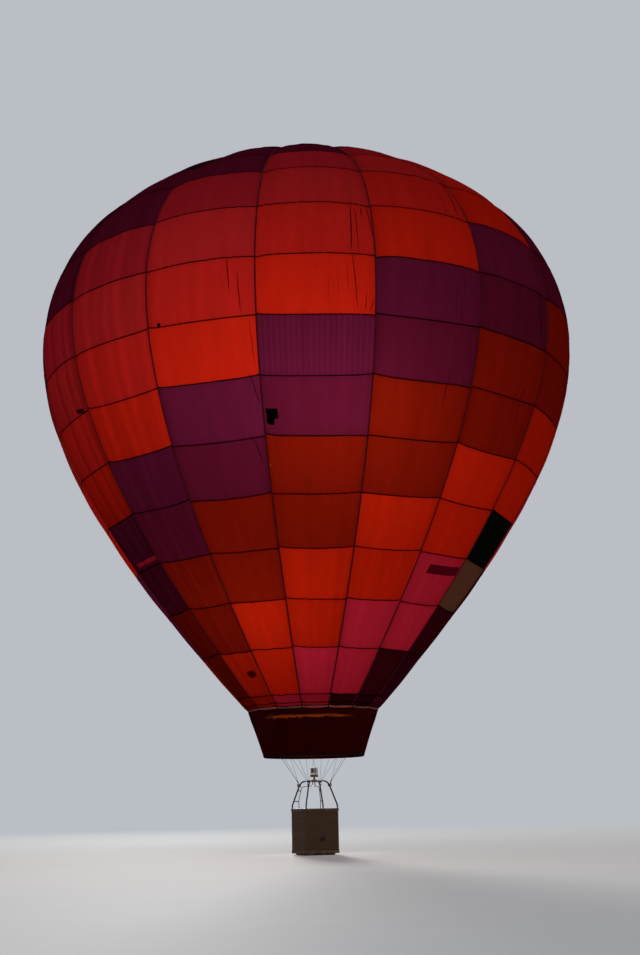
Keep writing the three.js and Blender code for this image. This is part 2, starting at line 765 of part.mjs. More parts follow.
function hoseGeometry(side) {
  const corner = side > 0 ? 3 * Math.PI / 4 : 5 * Math.PI / 4;
  const valveTop = above(CYLINDER_FOOT + CYLINDER_BODY + VALVE_HEIGHT + TOUCH);
  const path = bentPath([
    polar(HOSE_BENDS[0].radius, valveTop, corner),
    ...HOSE_BENDS.map(({ radius, height }) => polar(radius, above(height), corner)),
    new THREE.Vector3(side * INLET.x, INLET.y, above(HOSE_TURN_UP)),
    new THREE.Vector3(side * INLET.x, INLET.y, above(PIVOT_HEIGHT - HOSE_END_DROP)),
  ], HOSE_CUT_BACKS);
  return tube(path, HOSE_RADIUS, 32, 8);
}

place('fuel_hose_right', hoseGeometry(1), RUBBER);
place('fuel_hose_left', hoseGeometry(-1), RUBBER);

export default part;
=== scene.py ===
# A hot air balloon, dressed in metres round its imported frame: sixteen gores of coloured cloth sewn to
# load tapes, a parachute vent, a skirt, flying wires, a gimballed burner and a wicker basket.
# Directions round the axis are measured from -Y towards +X, as the frame has them.

import math

import bpy
import numpy as np
from mathutils import Matrix, Vector
from mathutils.geometry import tessellate_polygon


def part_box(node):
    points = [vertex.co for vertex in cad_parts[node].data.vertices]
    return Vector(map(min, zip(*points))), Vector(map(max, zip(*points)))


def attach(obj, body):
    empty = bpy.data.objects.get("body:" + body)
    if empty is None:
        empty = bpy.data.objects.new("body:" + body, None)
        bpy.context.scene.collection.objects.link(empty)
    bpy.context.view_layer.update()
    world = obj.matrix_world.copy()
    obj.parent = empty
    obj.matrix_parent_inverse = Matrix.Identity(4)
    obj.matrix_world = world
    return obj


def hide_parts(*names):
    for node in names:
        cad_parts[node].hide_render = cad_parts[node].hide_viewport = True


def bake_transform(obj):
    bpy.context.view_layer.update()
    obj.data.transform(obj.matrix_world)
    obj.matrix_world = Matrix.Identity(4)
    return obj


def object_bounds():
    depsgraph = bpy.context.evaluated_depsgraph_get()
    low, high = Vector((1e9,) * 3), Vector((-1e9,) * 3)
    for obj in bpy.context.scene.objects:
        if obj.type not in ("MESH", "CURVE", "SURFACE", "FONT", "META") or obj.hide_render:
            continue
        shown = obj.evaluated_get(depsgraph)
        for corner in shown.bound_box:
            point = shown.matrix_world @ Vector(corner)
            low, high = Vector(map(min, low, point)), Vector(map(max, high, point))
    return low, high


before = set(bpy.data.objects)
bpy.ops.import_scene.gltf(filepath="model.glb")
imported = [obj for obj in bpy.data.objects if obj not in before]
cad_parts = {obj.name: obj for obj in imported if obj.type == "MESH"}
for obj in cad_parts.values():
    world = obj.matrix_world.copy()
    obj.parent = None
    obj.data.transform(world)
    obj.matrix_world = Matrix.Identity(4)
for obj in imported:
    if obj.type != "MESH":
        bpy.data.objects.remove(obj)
cad_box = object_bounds()
ground = cad_box[0].z


# Camera
# It stands some forty metres away, a metre above the ground, and looks up at the envelope through a
# slightly long lens, turned a little about its line of sight.
def place_object(name, data, matrix=Matrix()):
    """An object in the scene for a mesh, a lamp or the camera."""
    placed = bpy.data.objects.new(name, data)
    placed.matrix_world = matrix
    bpy.context.scene.collection.objects.link(placed)
    return placed


def turned(degrees, axis):
    return Matrix.Rotation(math.radians(degrees), 4, axis)


camera_heading, camera_tilt, camera_roll = -24.84, 12.69, -1.11
camera_turn = turned(camera_heading, "Z") @ turned(90 + camera_tilt, "X") @ turned(camera_roll, "Z")
camera_place = Matrix.Translation((-17.243, -38.002, ground + 1.04))
lens = bpy.data.cameras.new("camera")
lens.lens = 56.54
lens.sensor_width = 36.0
lens.clip_end = 2000.0
bpy.context.scene.camera = place_object("camera", lens, camera_place @ camera_turn)


# Studio
# A pale floor under an even pale light, with one wide soft lamp in front and one low behind. Four soft
# lamps hang inside the envelope, so that the cloth glows as it does when the light comes through it.
def put(tree, kind, inputs=None, **settings):
    """A new node: its settings, and its inputs as values or as the outputs that feed them."""
    node = tree.nodes.new(kind)
    for name, value in settings.items():
        setattr(node, name, value)
    for name, value in (inputs or {}).items():
        if isinstance(value, bpy.types.NodeSocket):
            tree.links.new(value, node.inputs[name])
        else:
            node.inputs[name].default_value = value
    return node


def start_material(name):
    material = bpy.data.materials.new(name)
    material.use_nodes = True
    material.node_tree.nodes.clear()
    return material, material.node_tree


def end_material(tree, shader):
    put(tree, "ShaderNodeOutputMaterial", {"Surface": shader.outputs[0]})


def object_place(tree):
    return put(tree, "ShaderNodeTexCoord").outputs["Object"]


def cut_place(tree):
    return put(tree, "ShaderNodeUVMap", uv_map="cut").outputs[0]


def sides_of(tree, place):
    """The X, Y and Z of a place."""
    return put(tree, "ShaderNodeSeparateXYZ", {0: place}).outputs


def stretched(tree, place, scale):
    """A place with a scale of its own for each axis."""
    return put(tree, "ShaderNodeMapping", {"Vector": place, "Scale": scale}).outputs[0]


def mixed(tree, share, first, second, blend="MIX"):
    """The output of a colour mix of two colours or the outputs that give them."""
    first, second = ((*colour, 1) if isinstance(colour, tuple) else colour for colour in (first, second))
    inputs = {0: share, 6: first, 7: second}
    return put(tree, "ShaderNodeMix", inputs, data_type="RGBA", blend_type=blend).outputs[2]


def maths(tree, operation, *values):
    """The output of a sum of values or of the outputs that give them."""
    return put(tree, "ShaderNodeMath", dict(enumerate(values)), operation=operation).outputs[0]


def noise(tree, place, scale, detail):
    """Cloudy noise, from 0 to 1."""
    return put(tree, "ShaderNodeTexNoise", {"Vector": place, "Scale": scale, "Detail": detail}).outputs[0]


def spread(tree, value, low=0.0, high=1.0, first=0.0, last=1.0, way="LINEAR"):
    """A value between two limits, spread from a first value to a last one."""
    limits = {0: value, 1: low, 2: high, 3: first, 4: last}
    return put(tree, "ShaderNodeMapRange", limits, interpolation_type=way).outputs[0]


def turns(count):
    """Even steps once round, in radians."""
    return np.arange(count) / count * 2 * math.pi


def grid_faces(rows, columns, wrap=True, ends=None):
    """The quads of a grid of points listed row by row; its end rows may be "joined" or "capped"."""
    row = np.arange(rows if ends == "joined" else rows - 1)[:, None] * columns
    column = np.arange(columns if wrap else columns - 1)[None, :]
    next_row, next_column = (row + columns) % (rows * columns), (column + 1) % columns
    faces = [row + column, row + next_column, next_row + next_column, next_row + column]
    faces = np.stack(faces, -1).reshape(-1, 4).tolist()
    if ends == "capped":
        corners = list(range(rows * columns))
        faces += [corners[:columns][::-1], corners[-columns:]]
    return faces


backdrop_colour = (0.80, 0.84, 0.90)
backdrop_strength = 0.62
light_from_backdrop = 0.34
floor_rings = np.array([900.0, 60.0, 20.0, 6.0, 0.01])
floor_turn = turns(64)
floor_points = [
    (radius * math.cos(angle), radius * math.sin(angle), ground - 0.002)
    for radius in floor_rings
    for angle in floor_turn
]
floor_mesh = bpy.data.meshes.new("studio_floor")
floor_mesh.from_pydata(floor_points, [], grid_faces(len(floor_rings), len(floor_turn)))
floor_material, tree = start_material("studio_floor")
place = object_place(tree)
pale = mixed(tree, noise(tree, place, 0.6, 4.0), (0.78, 0.78, 0.78), (0.84, 0.835, 0.825))
near_floor = put(tree, "ShaderNodeBsdfPrincipled", {"Base Color": pale, "Roughness": 0.9})


def backdrop_light(tree):
    """How bright the backdrop is to the eye, and less so as a source of light."""
    seen = put(tree, "ShaderNodeLightPath").outputs["Is Camera Ray"]
    return spread(tree, seen, first=light_from_backdrop, last=backdrop_strength)


backdrop = {"Color": (*backdrop_colour, 1), "Strength": backdrop_light(tree)}
far_floor = put(tree, "ShaderNodeEmission", backdrop)
level = put(tree, "ShaderNodeVectorMath", {0: place, 1: (1.0, 1.0, 0.0)}, operation="MULTIPLY").outputs[0]
reach = put(tree, "ShaderNodeVectorMath", {0: level}, operation="LENGTH").outputs["Value"]
faded = spread(tree, reach, 12.0, 110.0, way="SMOOTHSTEP")
both_floors = {0: faded, 1: near_floor.outputs[0], 2: far_floor.outputs[0]}
end_material(tree, put(tree, "ShaderNodeMixShader", both_floors))
floor_mesh.materials.append(floor_material)
place_object("studio_floor", floor_mesh)
world = bpy.data.worlds.new("studio")
world.use_nodes = True
sky = world.node_tree.nodes["Background"]
sky.inputs["Color"].default_value = (*backdrop_colour, 1)
world.node_tree.links.new(backdrop_light(world.node_tree), sky.inputs["Strength"])
bpy.context.scene.world = world
bpy.context.scene.view_settings.view_transform = "Standard"


def hang_lamp(name, kind, power, size_name, size, colour, matrix):
    lamp = bpy.data.lights.new(name, kind)
    lamp.energy = power
    lamp.color = colour
    setattr(lamp, size_name, size)
    place_object(name, lamp, matrix)


# name, strength, softness in degrees, compass direction it shines from, height above the horizon
for name, strength, softness, heading, height in (
    ("front_lamp", 0.5, 50, 12, 35),
    ("back_lamp", 2.2, 10, 186, 8),
):
    lamp_turn = turned(heading + camera_heading, "Z") @ turned(90 - height, "X")
    hang_lamp(name, "SUN", strength, "angle", math.radians(softness), (1.0, 0.97, 0.93), lamp_turn)

# name, power, direction from the axis, distance from it and height above the ground
for name, power, heading, out, height in (
    ("left_glow", 218, -44, 4.0, 12.9),
    ("right_glow", 243, -16, 4.6, 11.6),
    ("low_glow", 135, -46, 2.0, 7.4),
    ("far_glow", 170, 155, 3.5, 12.0),
):
    lamp_place = turned(heading, "Z") @ Matrix.Translation((0, -out, ground + height))
    hang_lamp(name, "POINT", power, "shadow_soft_size", 1.0, (1.0, 0.9, 0.8), lamp_place)


# Gores
# Each of the sixteen gores is a column of rip-stop nylon panels sewn edge to edge from the mouth to the
# vent. Hot air swells it between its two load tapes, and the slack runs up and down it in soft folds.
gores = 16
half_gore = math.pi / gores
mouth_radius = 1.80
mouth_height = ground + 3.88
cloth_width = 1.47
hem_row = 0.40
vent_row = 14
crown_inner, crown_outer, sewn_outer = 0.120, 0.165, 0.185

# For each row from the mouth to the crown: how far it leans out of upright, in degrees, outwards
# first and then inwards, and its swell between the tapes as a share of the chord.
row_leans = [44.0, 40.6, 39.2, 37.3, 33.8, 30.2, 24.1, 15.9, 3.6]
row_leans += [-13.9, -31.6, -49.3, -57.6, -66.1, -74.4, -82.3]
row_leans = np.radians(row_leans)
row_swells = [0.020, 0.024, 0.028, 0.032, 0.036, 0.040, 0.044, 0.048, 0.052, 0.055, 0.058, 0.060, 0.062]
row_swells += [0.064] * (len(row_leans) + 1 - len(row_swells))
row_lengths = np.array([hem_row] + [cloth_width] * (len(row_leans) - 1))


def sums(steps, start=0.0):
    """Where each of a row of steps starts, and where the last one ends."""
    return start + np.concatenate([[0], np.cumsum(steps)])


seam_up = sums(row_lengths)
seam_radius = sums(row_lengths * np.sin(row_leans), mouth_radius)
seam_radius[-1] = (crown_inner + sewn_outer) / 2
seam_height = sums(row_lengths * np.cos(row_leans), mouth_height)
seam_lean = np.concatenate([row_leans[:1], (row_leans[1:] + row_leans[:-1]) / 2, row_leans[-1:]])
vent_edge = seam_up[vent_row]


def polar(radius, height, angle):
    """Places by their distance from the axis, height, and angle from -Y towards +X."""
    return np.stack(np.broadcast_arrays(radius * np.sin(angle), -radius * np.cos(angle), height), -1)


def row_at(up):
    """The row of cloth at a distance up from the mouth, and the share of the row below it."""
    row = np.clip(np.searchsorted(seam_up, up, side="right") - 1, 0, len(row_lengths) - 1)
    return row, (up - seam_up[row]) / row_lengths[row]


def meridian(up):
    """Radius, height and lean of the load tapes' smooth line at a distance up from the mouth."""
    row, t = row_at(up)
    start, end = (2 * t - 3) * t * t + 1, (3 - 2 * t) * t * t
    leave, enter = ((t - 2) * t + 1) * t, (t - 1) * t * t
    leave_slope, enter_slope = (3 * t - 4) * t + 1, (3 * t - 2) * t
    length = row_lengths[row]
    line, slope = [], []
    for ring, turn in ((seam_radius, np.sin), (seam_height, np.cos)):
        at_start, at_end = length * turn(seam_lean[row]), length * turn(seam_lean[row + 1])
        line.append(start * ring[row] + end * ring[row + 1] + leave * at_start + enter * at_end)
        rise = 6 * t * (1 - t) * (ring[row + 1] - ring[row])
        slope.append(rise + leave_slope * at_start + enter_slope * at_end)
    return line[0], line[1], np.arctan2(slope[0], slope[1])


def half_width(up):
    """Half the distance between a gore's two tapes."""
    return meridian(up)[0] * math.sin(half_gore)


def from_seam(up):
    """Distance from the nearest seam between two rows."""
    row, share = row_at(up)
    return np.minimum(share, 1 - share) * row_lengths[row]


fold_waves = 5
fold_draws = [np.random.default_rng(40 + gore) for gore in range(gores)]
fold_phases = [draw.uniform(0, 2 * math.pi, (fold_waves + 3, 2)) for draw in fold_draws]
fold_lengths = [draw.uniform(2.2, 5.5, fold_waves) for draw in fold_draws]
fold_counts = (1.5, 2.5, 4.0, 6.5, 10.0)
fold_depths = (0.010, 0.007, 0.004, 0.0025, 0.0015)
seam_sags = [draw.uniform(-0.012, 0.030, vent_row + 1) for draw in fold_draws]
seam_slips = [draw.normal(0, 0.026, (2, vent_row + 1)) for draw in fold_draws]


def sagged(gore, across, up):
    """Where a point of the cloth really lies: the seams between rows sag a little and slip at the tapes."""
    inside = np.clip(np.minimum(up, vent_edge - up) / cloth_width, 0, 1)
    knots = seam_up[:vent_row + 1]
    slip = -np.interp(up, knots, seam_sags[gore]) * (1 - across ** 2)
    for side, drawn in zip((1 + across, 1 - across), seam_slips[gore]):
        slip = slip + np.interp(up, knots, drawn) * np.exp(-side * half_width(up) / 0.22)
    return up + slip * inside


pleated_gore, pleated_row, pleats_in_row, pleat_depth = 15, 7, 21, 0.012


def pleats(across, row):
    """Height, from 0 to 1, of the fine upright pleats that one panel is gathered into."""
    wave = np.abs(np.sin(math.pi * pleats_in_row * (across + 1) / 2))
    return np.where(row == pleated_row, wave, 0.0)


def folds(gore, across, up):
    """How far the cloth of a gore stands proud of its plain swell, in metres."""
    from_tape = (1 - np.abs(across)) * half_width(up)
    row, share = row_at(up)
    phases = fold_phases[gore]
    proud = 0.016 * np.sin(math.pi * share) ** 0.8 * (1 - across ** 2)
    for i, (count, depth) in enumerate(zip(fold_counts, fold_depths)):
        comes_and_goes = np.sin(up / fold_lengths[gore][i] * math.pi + phases[i, 0]) ** 2
        drift = 0.5 * np.sin(up / 3.1 + phases[i, 1])
        proud = proud + depth * comes_and_goes * np.sin(math.pi * count * across + phases[i, 1] + drift)
    gathered = 0.007 * np.exp(-from_seam(up) / 0.16) * np.sin(46 * across + phases[-3, 0])
    puckered = 0.007 * np.exp(-from_tape / 0.20) * np.sin(up * 2 * math.pi / 0.52 + phases[-2, 0])
    held = np.clip(from_tape / 0.16, 0, 1)
    if gore == pleated_gore:
        proud = proud + pleat_depth * pleats(across, row)
    return (proud + gathered + puckered) * held * held * (3 - 2 * held)


def on_gore(gore, across, up, lift=0.0):
    """Points on a gore's cloth: across from -1 to 1 between its tapes, up in metres from the mouth."""
    up = sagged(gore, across, up)
    radius, height, lean = meridian(up)
    half = half_width(up)
    swell = np.interp(up, seam_up, row_swells) * 2 * half * (1 - across ** 2)
    swell = swell + folds(gore, across, up) + lift
    turn = gore * 2 * half_gore
    beside = np.array([math.cos(turn), math.sin(turn), 0.0])
    middle = polar(radius * math.cos(half_gore) + swell * np.cos(lean), height - swell * np.sin(lean), turn)
    return middle + (across * half)[..., None] * beside


def skin(points, flat, wrap=True, ends=None):
    """A part made of a grid of points and their flat places: its points, faces and flat places."""
    return points.reshape(-1, 3), grid_faces(*points.shape[:2], wrap, ends), flat.reshape(-1, 2)


def inside_out(part):
    """The same part with its faces turned round."""
    return part[0], [face[::-1] for face in part[1]], part[2]


def joined(parts):
    """One list of points, faces and flat places from several, each a (points, faces, flat) of its own."""
    points, faces, flat, count = [], [], [], 0
    for part_points, part_faces, part_flat in parts:
        points.append(np.asarray(part_points, float))
        flat.append(np.asarray(part_flat, float))
        faces += [[corner + count for corner in face] for face in part_faces]
        count += len(part_points)
    return np.concatenate(points), faces, np.concatenate(flat)


def make_mesh(name, part, sharp_over=None):
    """A mesh of a part's points and faces, with its flat places in metres as the UV map cut."""
    points, faces, flat = part
    mesh = bpy.data.meshes.new(name)
    mesh.from_pydata(np.asarray(points).tolist(), [], faces)
    corners = np.empty(len(mesh.loops), np.int32)
    mesh.loops.foreach_get("vertex_index", corners)
    cut = mesh.uv_layers.new(name="cut")
    cut.data.foreach_set("uv", np.asarray(flat, np.float32)[corners].ravel())
    mesh.shade_smooth()
    if sharp_over is not None:
        mesh.set_sharp_from_angle(angle=math.radians(sharp_over))
    return mesh


def make_piece(name, shape, material, slot, *replaced, body="balloon", sharp_over=None):
    """An object for a part or a finished mesh, riding on its body and standing for the nodes it replaces."""
    mesh = shape if isinstance(shape, bpy.types.Mesh) else make_mesh(name, shape, sharp_over)
    mesh.materials.clear()
    mesh.materials.append(material)
    made = place_object(name, mesh)
    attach(made, body)
    if replaced:
        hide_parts(*replaced)
    return made


# The dyes in the order that they step up a gore, one row for each; each next gore starts a step later.
dyes = (
    (0.050, 0.0025, 0.0080),
    (0.620, 0.0210, 0.0560),
    (0.620, 0.0210, 0.0560),
    (0.640, 0.0190, 0.0028),
    (0.660, 0.0205, 0.0034),
    (0.290, 0.0110, 0.0024),
    (0.275, 0.0105, 0.0026),
    (0.132, 0.0080, 0.036),
    (0.145, 0.0100, 0.050),
    (0.700, 0.0210, 0.0076),
    (0.610, 0.0195, 0.0150),
    (0.500, 0.0200, 0.0240),
    (0.410, 0.0160, 0.0300),
    (0.110, 0.0065, 0.030),
    (0.100, 0.0055, 0.030),
    (0.045, 0.0030, 0.014),
    (0.150, 0.0700, 0.045),
    (0.005, 0.0080, 0.005),
    # the pale colour of painted light
    (0.800, 0.4000, 0.340),
)
taupe_step, black_step, painted_light_step = 16, 17, 18
# gore counted from the last one, row counted from one at the hem: panels of another cloth
patched_panels = {(3, 4): taupe_step, (3, 5): black_step}


def dye_of(gore, row):
    place = (gore + 1) % gores
    return patched_panels.get((place, row + 1), (row + 1 - place) % gores)


def new_tree(name, kind, inputs, outputs):
    """A node tree with named sockets: the tree, what it is given and what it gives back."""
    tree = bpy.data.node_groups.new(name, kind)
    for way, sockets in (("INPUT", inputs), ("OUTPUT", outputs)):
        for socket, socket_kind in sockets.items():
            tree.interface.new_socket(socket, in_out=way, socket_type=f"NodeSocket{socket_kind}")
    return tree, tree.nodes.new("NodeGroupInput").outputs, tree.nodes.new("NodeGroupOutput").inputs


def ripstop_group():
    """Share of thread in rip-stop cloth: a fine plain weave with a thicker thread at each step."""
    inputs = {"Place": "Vector", "Step": "Float"}
    group, given, result = new_tree("ripstop_weave", "ShaderNodeTree", inputs, {"Thread": "Float"})
    sides = sides_of(group, given["Place"])
    lines = []
    for side in ("X", "Y"):
        fold = maths(group, "PINGPONG", maths(group, "DIVIDE", sides[side], given["Step"]), 0.5)
        lines.append(spread(group, fold, 0.04, 0.12, 1.0, 0.0))
    group.links.new(maths(group, "MAXIMUM", *lines), result["Thread"])
    return group


def crumple_group():
    """Height of the small soft creases in thin cloth that hangs or is stretched, longer one way."""
    inputs = {"Place": "Vector", "Creases": "Float"}
    group, given, result = new_tree("cloth_crumple", "ShaderNodeTree", inputs, {"Height": "Float"})
    long_way = stretched(group, given["Place"], (4.2, 0.7, 1.0))
    small = maths(group, "MULTIPLY", noise(group, long_way, 4.0, 2.0), given["Creases"])
    group.links.new(maths(group, "ADD", noise(group, long_way, 1.0, 3.0), small), result["Height"])
    return group


def stitch_group():
    """A zigzag row of stitches on each side of a strip's middle, at a distance from it."""
    inputs = {"Place": "Vector", "Distance": "Float"}
    group, given, result = new_tree("zigzag_stitches", "ShaderNodeTree", inputs, {"Stitch": "Float"})
    sides = sides_of(group, given["Place"])
    zigzag = maths(group, "PINGPONG", sides["Y"], 0.006)
    off = maths(group, "SUBTRACT", maths(group, "ABSOLUTE", sides["X"]), zigzag)
    off = maths(group, "ABSOLUTE", maths(group, "SUBTRACT", off, given["Distance"]))
    group.links.new(spread(group, off, 0.0006, 0.0011, 1.0, 0.0), result["Stitch"])
    return group


ripstop, crumple, zigzag_stitches = ripstop_group(), crumple_group(), stitch_group()


def effect(tree, group, inputs):
    """The outputs of a shared effect."""
    return put(tree, "ShaderNodeGroup", inputs, node_tree=group).outputs


def bumped(tree, height, strength, distance):
    inputs = {"Height": height, "Strength": strength, "Distance": distance}
    return put(tree, "ShaderNodeBump", inputs).outputs[0]


def thin_cloth(tree, colour, height, let_through, roughness):
    """Ends a material in a surface mixed with light that comes through from behind."""
    bump = bumped(tree, height, 0.5, 0.012)
    front = put(tree, "ShaderNodeBsdfPrincipled", {
        "Base Color": mixed(tree, 0.65, colour, (0.0, 0.0, 0.0)),
        "Roughness": roughness,
        "Specular IOR Level": 0.0,
        "Normal": bump,
    })
    behind = put(tree, "ShaderNodeBsdfTranslucent", {"Color": colour, "Normal": bump})
    both = {0: let_through, 1: front.outputs[0], 2: behind.outputs[0]}
    end_material(tree, put(tree, "ShaderNodeMixShader", both))


def stepped_ramp(tree, step, colours):
    """The colour of a list that a whole number picks."""
    share = maths(tree, "DIVIDE", maths(tree, "ADD", step, 0.5), len(colours))
    ramp = put(tree, "ShaderNodeValToRGB", {0: share})
    ramp.color_ramp.interpolation = "CONSTANT"
    stops = ramp.color_ramp.elements
    for i, colour in enumerate(colours):
        stop = stops[i] if i < 2 else stops.new(i / len(colours))
        stop.position = i / len(colours)
        stop.color = (*colour, 1)
    return ramp.outputs[0]


def balloon_cloth_material(name, stitch_at=None):
    """Dyed rip-stop nylon; on a folded seam with its two rows of stitches."""
    material, tree = start_material(name)
    cut = cut_place(tree)
    dye = put(tree, "ShaderNodeAttribute", attribute_name="dye").outputs["Fac"]
    shade = put(tree, "ShaderNodeAttribute", attribute_name="panel_shade").outputs["Color"]
    thread = effect(tree, ripstop, {"Place": cut, "Step": 0.006})["Thread"]
    height = effect(tree, crumple, {"Place": cut, "Creases": 0.35})["Height"]
    colour = mixed(tree, 1.0, stepped_ramp(tree, dye, dyes), shade, "MULTIPLY")
    # Painted shade: darker in the hollows of the small creases, lighter on their crests.
    colour = mixed(tree, 1.0, colour, spread(tree, height, 0.4, 0.95, 0.93, 1.05), "MULTIPLY")
    colour = mixed(tree, maths(tree, "MULTIPLY", thread, 0.18), colour, (0.0, 0.0, 0.0))
    height = maths(tree, "MULTIPLY_ADD", thread, 0.02, height)
    if stitch_at:
        stitch = effect(tree, zigzag_stitches, {"Place": cut, "Distance": stitch_at})["Stitch"]
        colour = mixed(tree, stitch, colour, (0.02, 0.002, 0.003))
        height = maths(tree, "ADD", height, stitch)
    thin_cloth(tree, colour, height, 0.65, 0.55)
    return material


balloon_cloth = balloon_cloth_material("balloon_cloth")
steps_in_row = 12
cloth_columns, pleated_columns = 48, 6 * pleats_in_row
shade_draws = [np.random.default_rng(90 + gore) for gore in range(gores)]
panel_tones = [draw.uniform(0.90, 1.06, len(row_leans)) for draw in shade_draws]
tape_shadows = [draw.uniform(0.10, 0.45, (2, len(row_leans))) for draw in shade_draws]
# Painted shade: the hem row is darker.
hem_painted_shade = 0.80
# Painted shade: the crown's cloth darkens towards the top, and the lower panels of the two gores at the left
# limb darken towards the bottom.
crown_painted_shade, crown_shaded_from, crown_shaded_over = 0.15, 12.6, 2.4
limb_painted_shade, limb_shaded_below, limb_shaded_over = {12: 0.60, 13: 0.25}, 10.5, 5.0
# Painted light and shade: bands across each gore that follow its drapes, strongest on the gores at the left.
drape_counts = (2.6, 4.4, 7.0)
drape_painted_shade = {10: 0.09, 11: 0.10, 12: 0.09, 13: 0.05}


def cloth_tone(gore, across, up, row):
    """How much light the cloth lets through: a tone at random for each panel, with painted shade beside the
    tapes and seams, on the hem row, towards the crown and low on the left limb, and painted light and shade
    across the drapes and the pleats.
    """
    # Painted shade: the cloth is darker near the seams between rows.
    tone = panel_tones[gore][row] * (1 - 0.10 * np.exp(-from_seam(up) / 0.07))
    tone = tone * np.where(row == 0, hem_painted_shade, 1.0)
    tone = tone * (1 - crown_painted_shade * np.clip((up - crown_shaded_from) / crown_shaded_over, 0, 1))
    tone = tone * (1 - limb_painted_shade.get(gore, 0.0) * np.clip((limb_shaded_below - up) / limb_shaded_over, 0, 1))
    for count, phase in zip(drape_counts, fold_phases[gore][:, 0]):
        drift = 0.6 * np.sin(up / 2.3 + phase)
        tone = tone * (1 + drape_painted_shade.get(gore, 0.015) * np.sin(math.pi * count * across + phase + drift))
    # Painted shade: darker beside each load tape.
    for from_tape, shadow in zip((1 + across, 1 - across), tape_shadows[gore]):
        tone = tone * (1 - shadow[row] * np.exp(-from_tape * half_width(up) / 0.11))
    # Painted light and shade in stripes across the pleated panel.
    if gore == pleated_gore:
        tone = tone * np.where(row == pleated_row, 0.84 + 0.26 * pleats(across, row), 1.0)
    return tone


def store_dyes(mesh, face_dyes, corner_tones):
    """Each face's dye, and how bright it is at each of its corners."""
    dye = mesh.attributes.new("dye", "FLOAT", "FACE")
    dye.data.foreach_set("value", np.asarray(face_dyes, np.float32))
    tone = mesh.attributes.new("panel_shade", "FLOAT", "CORNER")
    tone.data.foreach_set("value", np.asarray(corner_tones, np.float32).ravel())


# A narrow strip of pink cloth is let into one panel, from near its left tape to its right one.
mended_gore, mended_up, mended_from, mended_to, mended_dye = 12, 4.994, -0.46, 0.99, 1


def gore_part(gore, columns):
    """A gore's cloth as one grid of points, with each face's dye and its corners' tones."""
    rows = [np.linspace(0, hem_row, 5)[:-1]]
    rows += [seam_up[i] + np.linspace(0, cloth_width, steps_in_row + 1)[:-1] for i in range(1, vent_row)]
    up = np.append(np.concatenate(rows), vent_edge)
    across = np.linspace(-1, 1, columns + 1)
    up_grid, across_grid = np.meshgrid(up, across, indexing="ij")
    flat = np.stack([across_grid * half_width(up_grid), up_grid], -1)
    part = skin(on_gore(gore, across_grid, up_grid), flat, wrap=False)
    face_ups = np.repeat((up[1:] + up[:-1]) / 2, columns)
    face_rows = row_at(face_ups)[0]
    corners = np.array(part[1])
    corner_rows = np.repeat(face_rows[:, None], 4, 1)
    tones = cloth_tone(gore, across_grid.ravel()[corners], up_grid.ravel()[corners], corner_rows)
    face_dyes = np.array([dye_of(gore, row) for row in face_rows])
    if gore == mended_gore:
        face_across = np.tile((across[1:] + across[:-1]) / 2, len(up) - 1)
        let_in = (abs(face_ups - mended_up) < 0.062) & (face_across > mended_from) & (face_across < mended_to)
        face_dyes[let_in] = mended_dye
        tones[let_in] *= 1.15
    return part, face_dyes, tones


# painted shadow lines laid as dark ridges: gore counted from 0, then where each starts and ends, across and
# up, and how wide it lies
shadow_creases_seen = (
    (15, 0.640, 13.58, 0.605, 12.25, 0.034),
    (15, 0.612, 12.20, 0.690, 10.86, 0.024),
    (15, 0.715, 13.58, 0.722, 12.20, 0.022),
    (15, 0.815, 13.58, 0.822, 13.22, 0.022),
    (15, 0.925, 13.60, 0.985, 12.70, 0.026),
    (15, 0.835, 11.20, 0.825, 10.78, 0.020),
    (15, 0.985, 11.10, 0.900, 10.78, 0.020),
    (15, 0.200, 11.70, 0.210, 10.95, 0.009),
    (15, 0.360, 11.90, 0.365, 11.05, 0.009),
    (15, 0.517, 12.00, 0.525, 11.20, 0.010),
    (14, 0.525, 12.20, 0.570, 11.33, 0.026),
    (14, 0.705, 11.80, 0.745, 10.80, 0.024),
    (14, 0.820, 9.30, 0.960, 8.50, 0.022),
    (14, 0.750, 7.80, 0.900, 7.10, 0.020),
    (14, 0.880, 10.60, 0.930, 9.50, 0.016),
    (0, 0.860, 15.05, 0.790, 13.75, 0.028),
    (0, 0.640, 12.10, 0.660, 11.00, 0.010),
    (1, 0.820, 13.50, 0.780, 12.40, 0.016),
)
# the same painted shadow lines on the gores out of sight, drawn at random
shadow_creases_unseen = [
    (gore, place, top, place + lean, top - length, width)
    for gore, draw in enumerate(shade_draws[:13])
    for place, top, lean, length, width in zip(
        draw.uniform(0.45, 0.90, 4),
        draw.uniform(8.0, 15.0, 4),
        draw.uniform(-0.08, 0.08, 4),
        draw.uniform(0.7, 1.5, 4),
        draw.uniform(0.009, 0.024, 4),
    )
]


def shadow_crease_part(gore, across_top, top, across_end, end, width):
    """A narrow ridge that stands out of the cloth, dark with painted shadow, and dies away at both ends."""
    t = np.linspace(0, 1, 13)
    up = top + (end - top) * t
    across = across_top + (across_end - across_top) * t
    half = width / 2 * np.sin(math.pi * (0.03 + 0.94 * t)) ** 0.5 / half_width(up)
    beside = across[:, None] + half[:, None] * (-1, 0, 1)
    up_grid = np.repeat(up[:, None], 3, 1)
    flat = np.stack([beside * half_width(up_grid), up_grid], -1)
    part = inside_out(skin(on_gore(gore, beside, up_grid, (0.001, 0.4 * width, 0.001)), flat, wrap=False))
    rows = row_at((up[1:] + up[:-1]) / 2)[0]
    # Painted shadow: the ridge is darkest, its edges less dark.
    tones = np.where(np.array(part[1]) % 3 == 1, 0.26, 0.50) * panel_tones[gore][np.repeat(rows, 2)][:, None]
    return part, [dye_of(gore, row) for row in rows for side in range(2)], tones


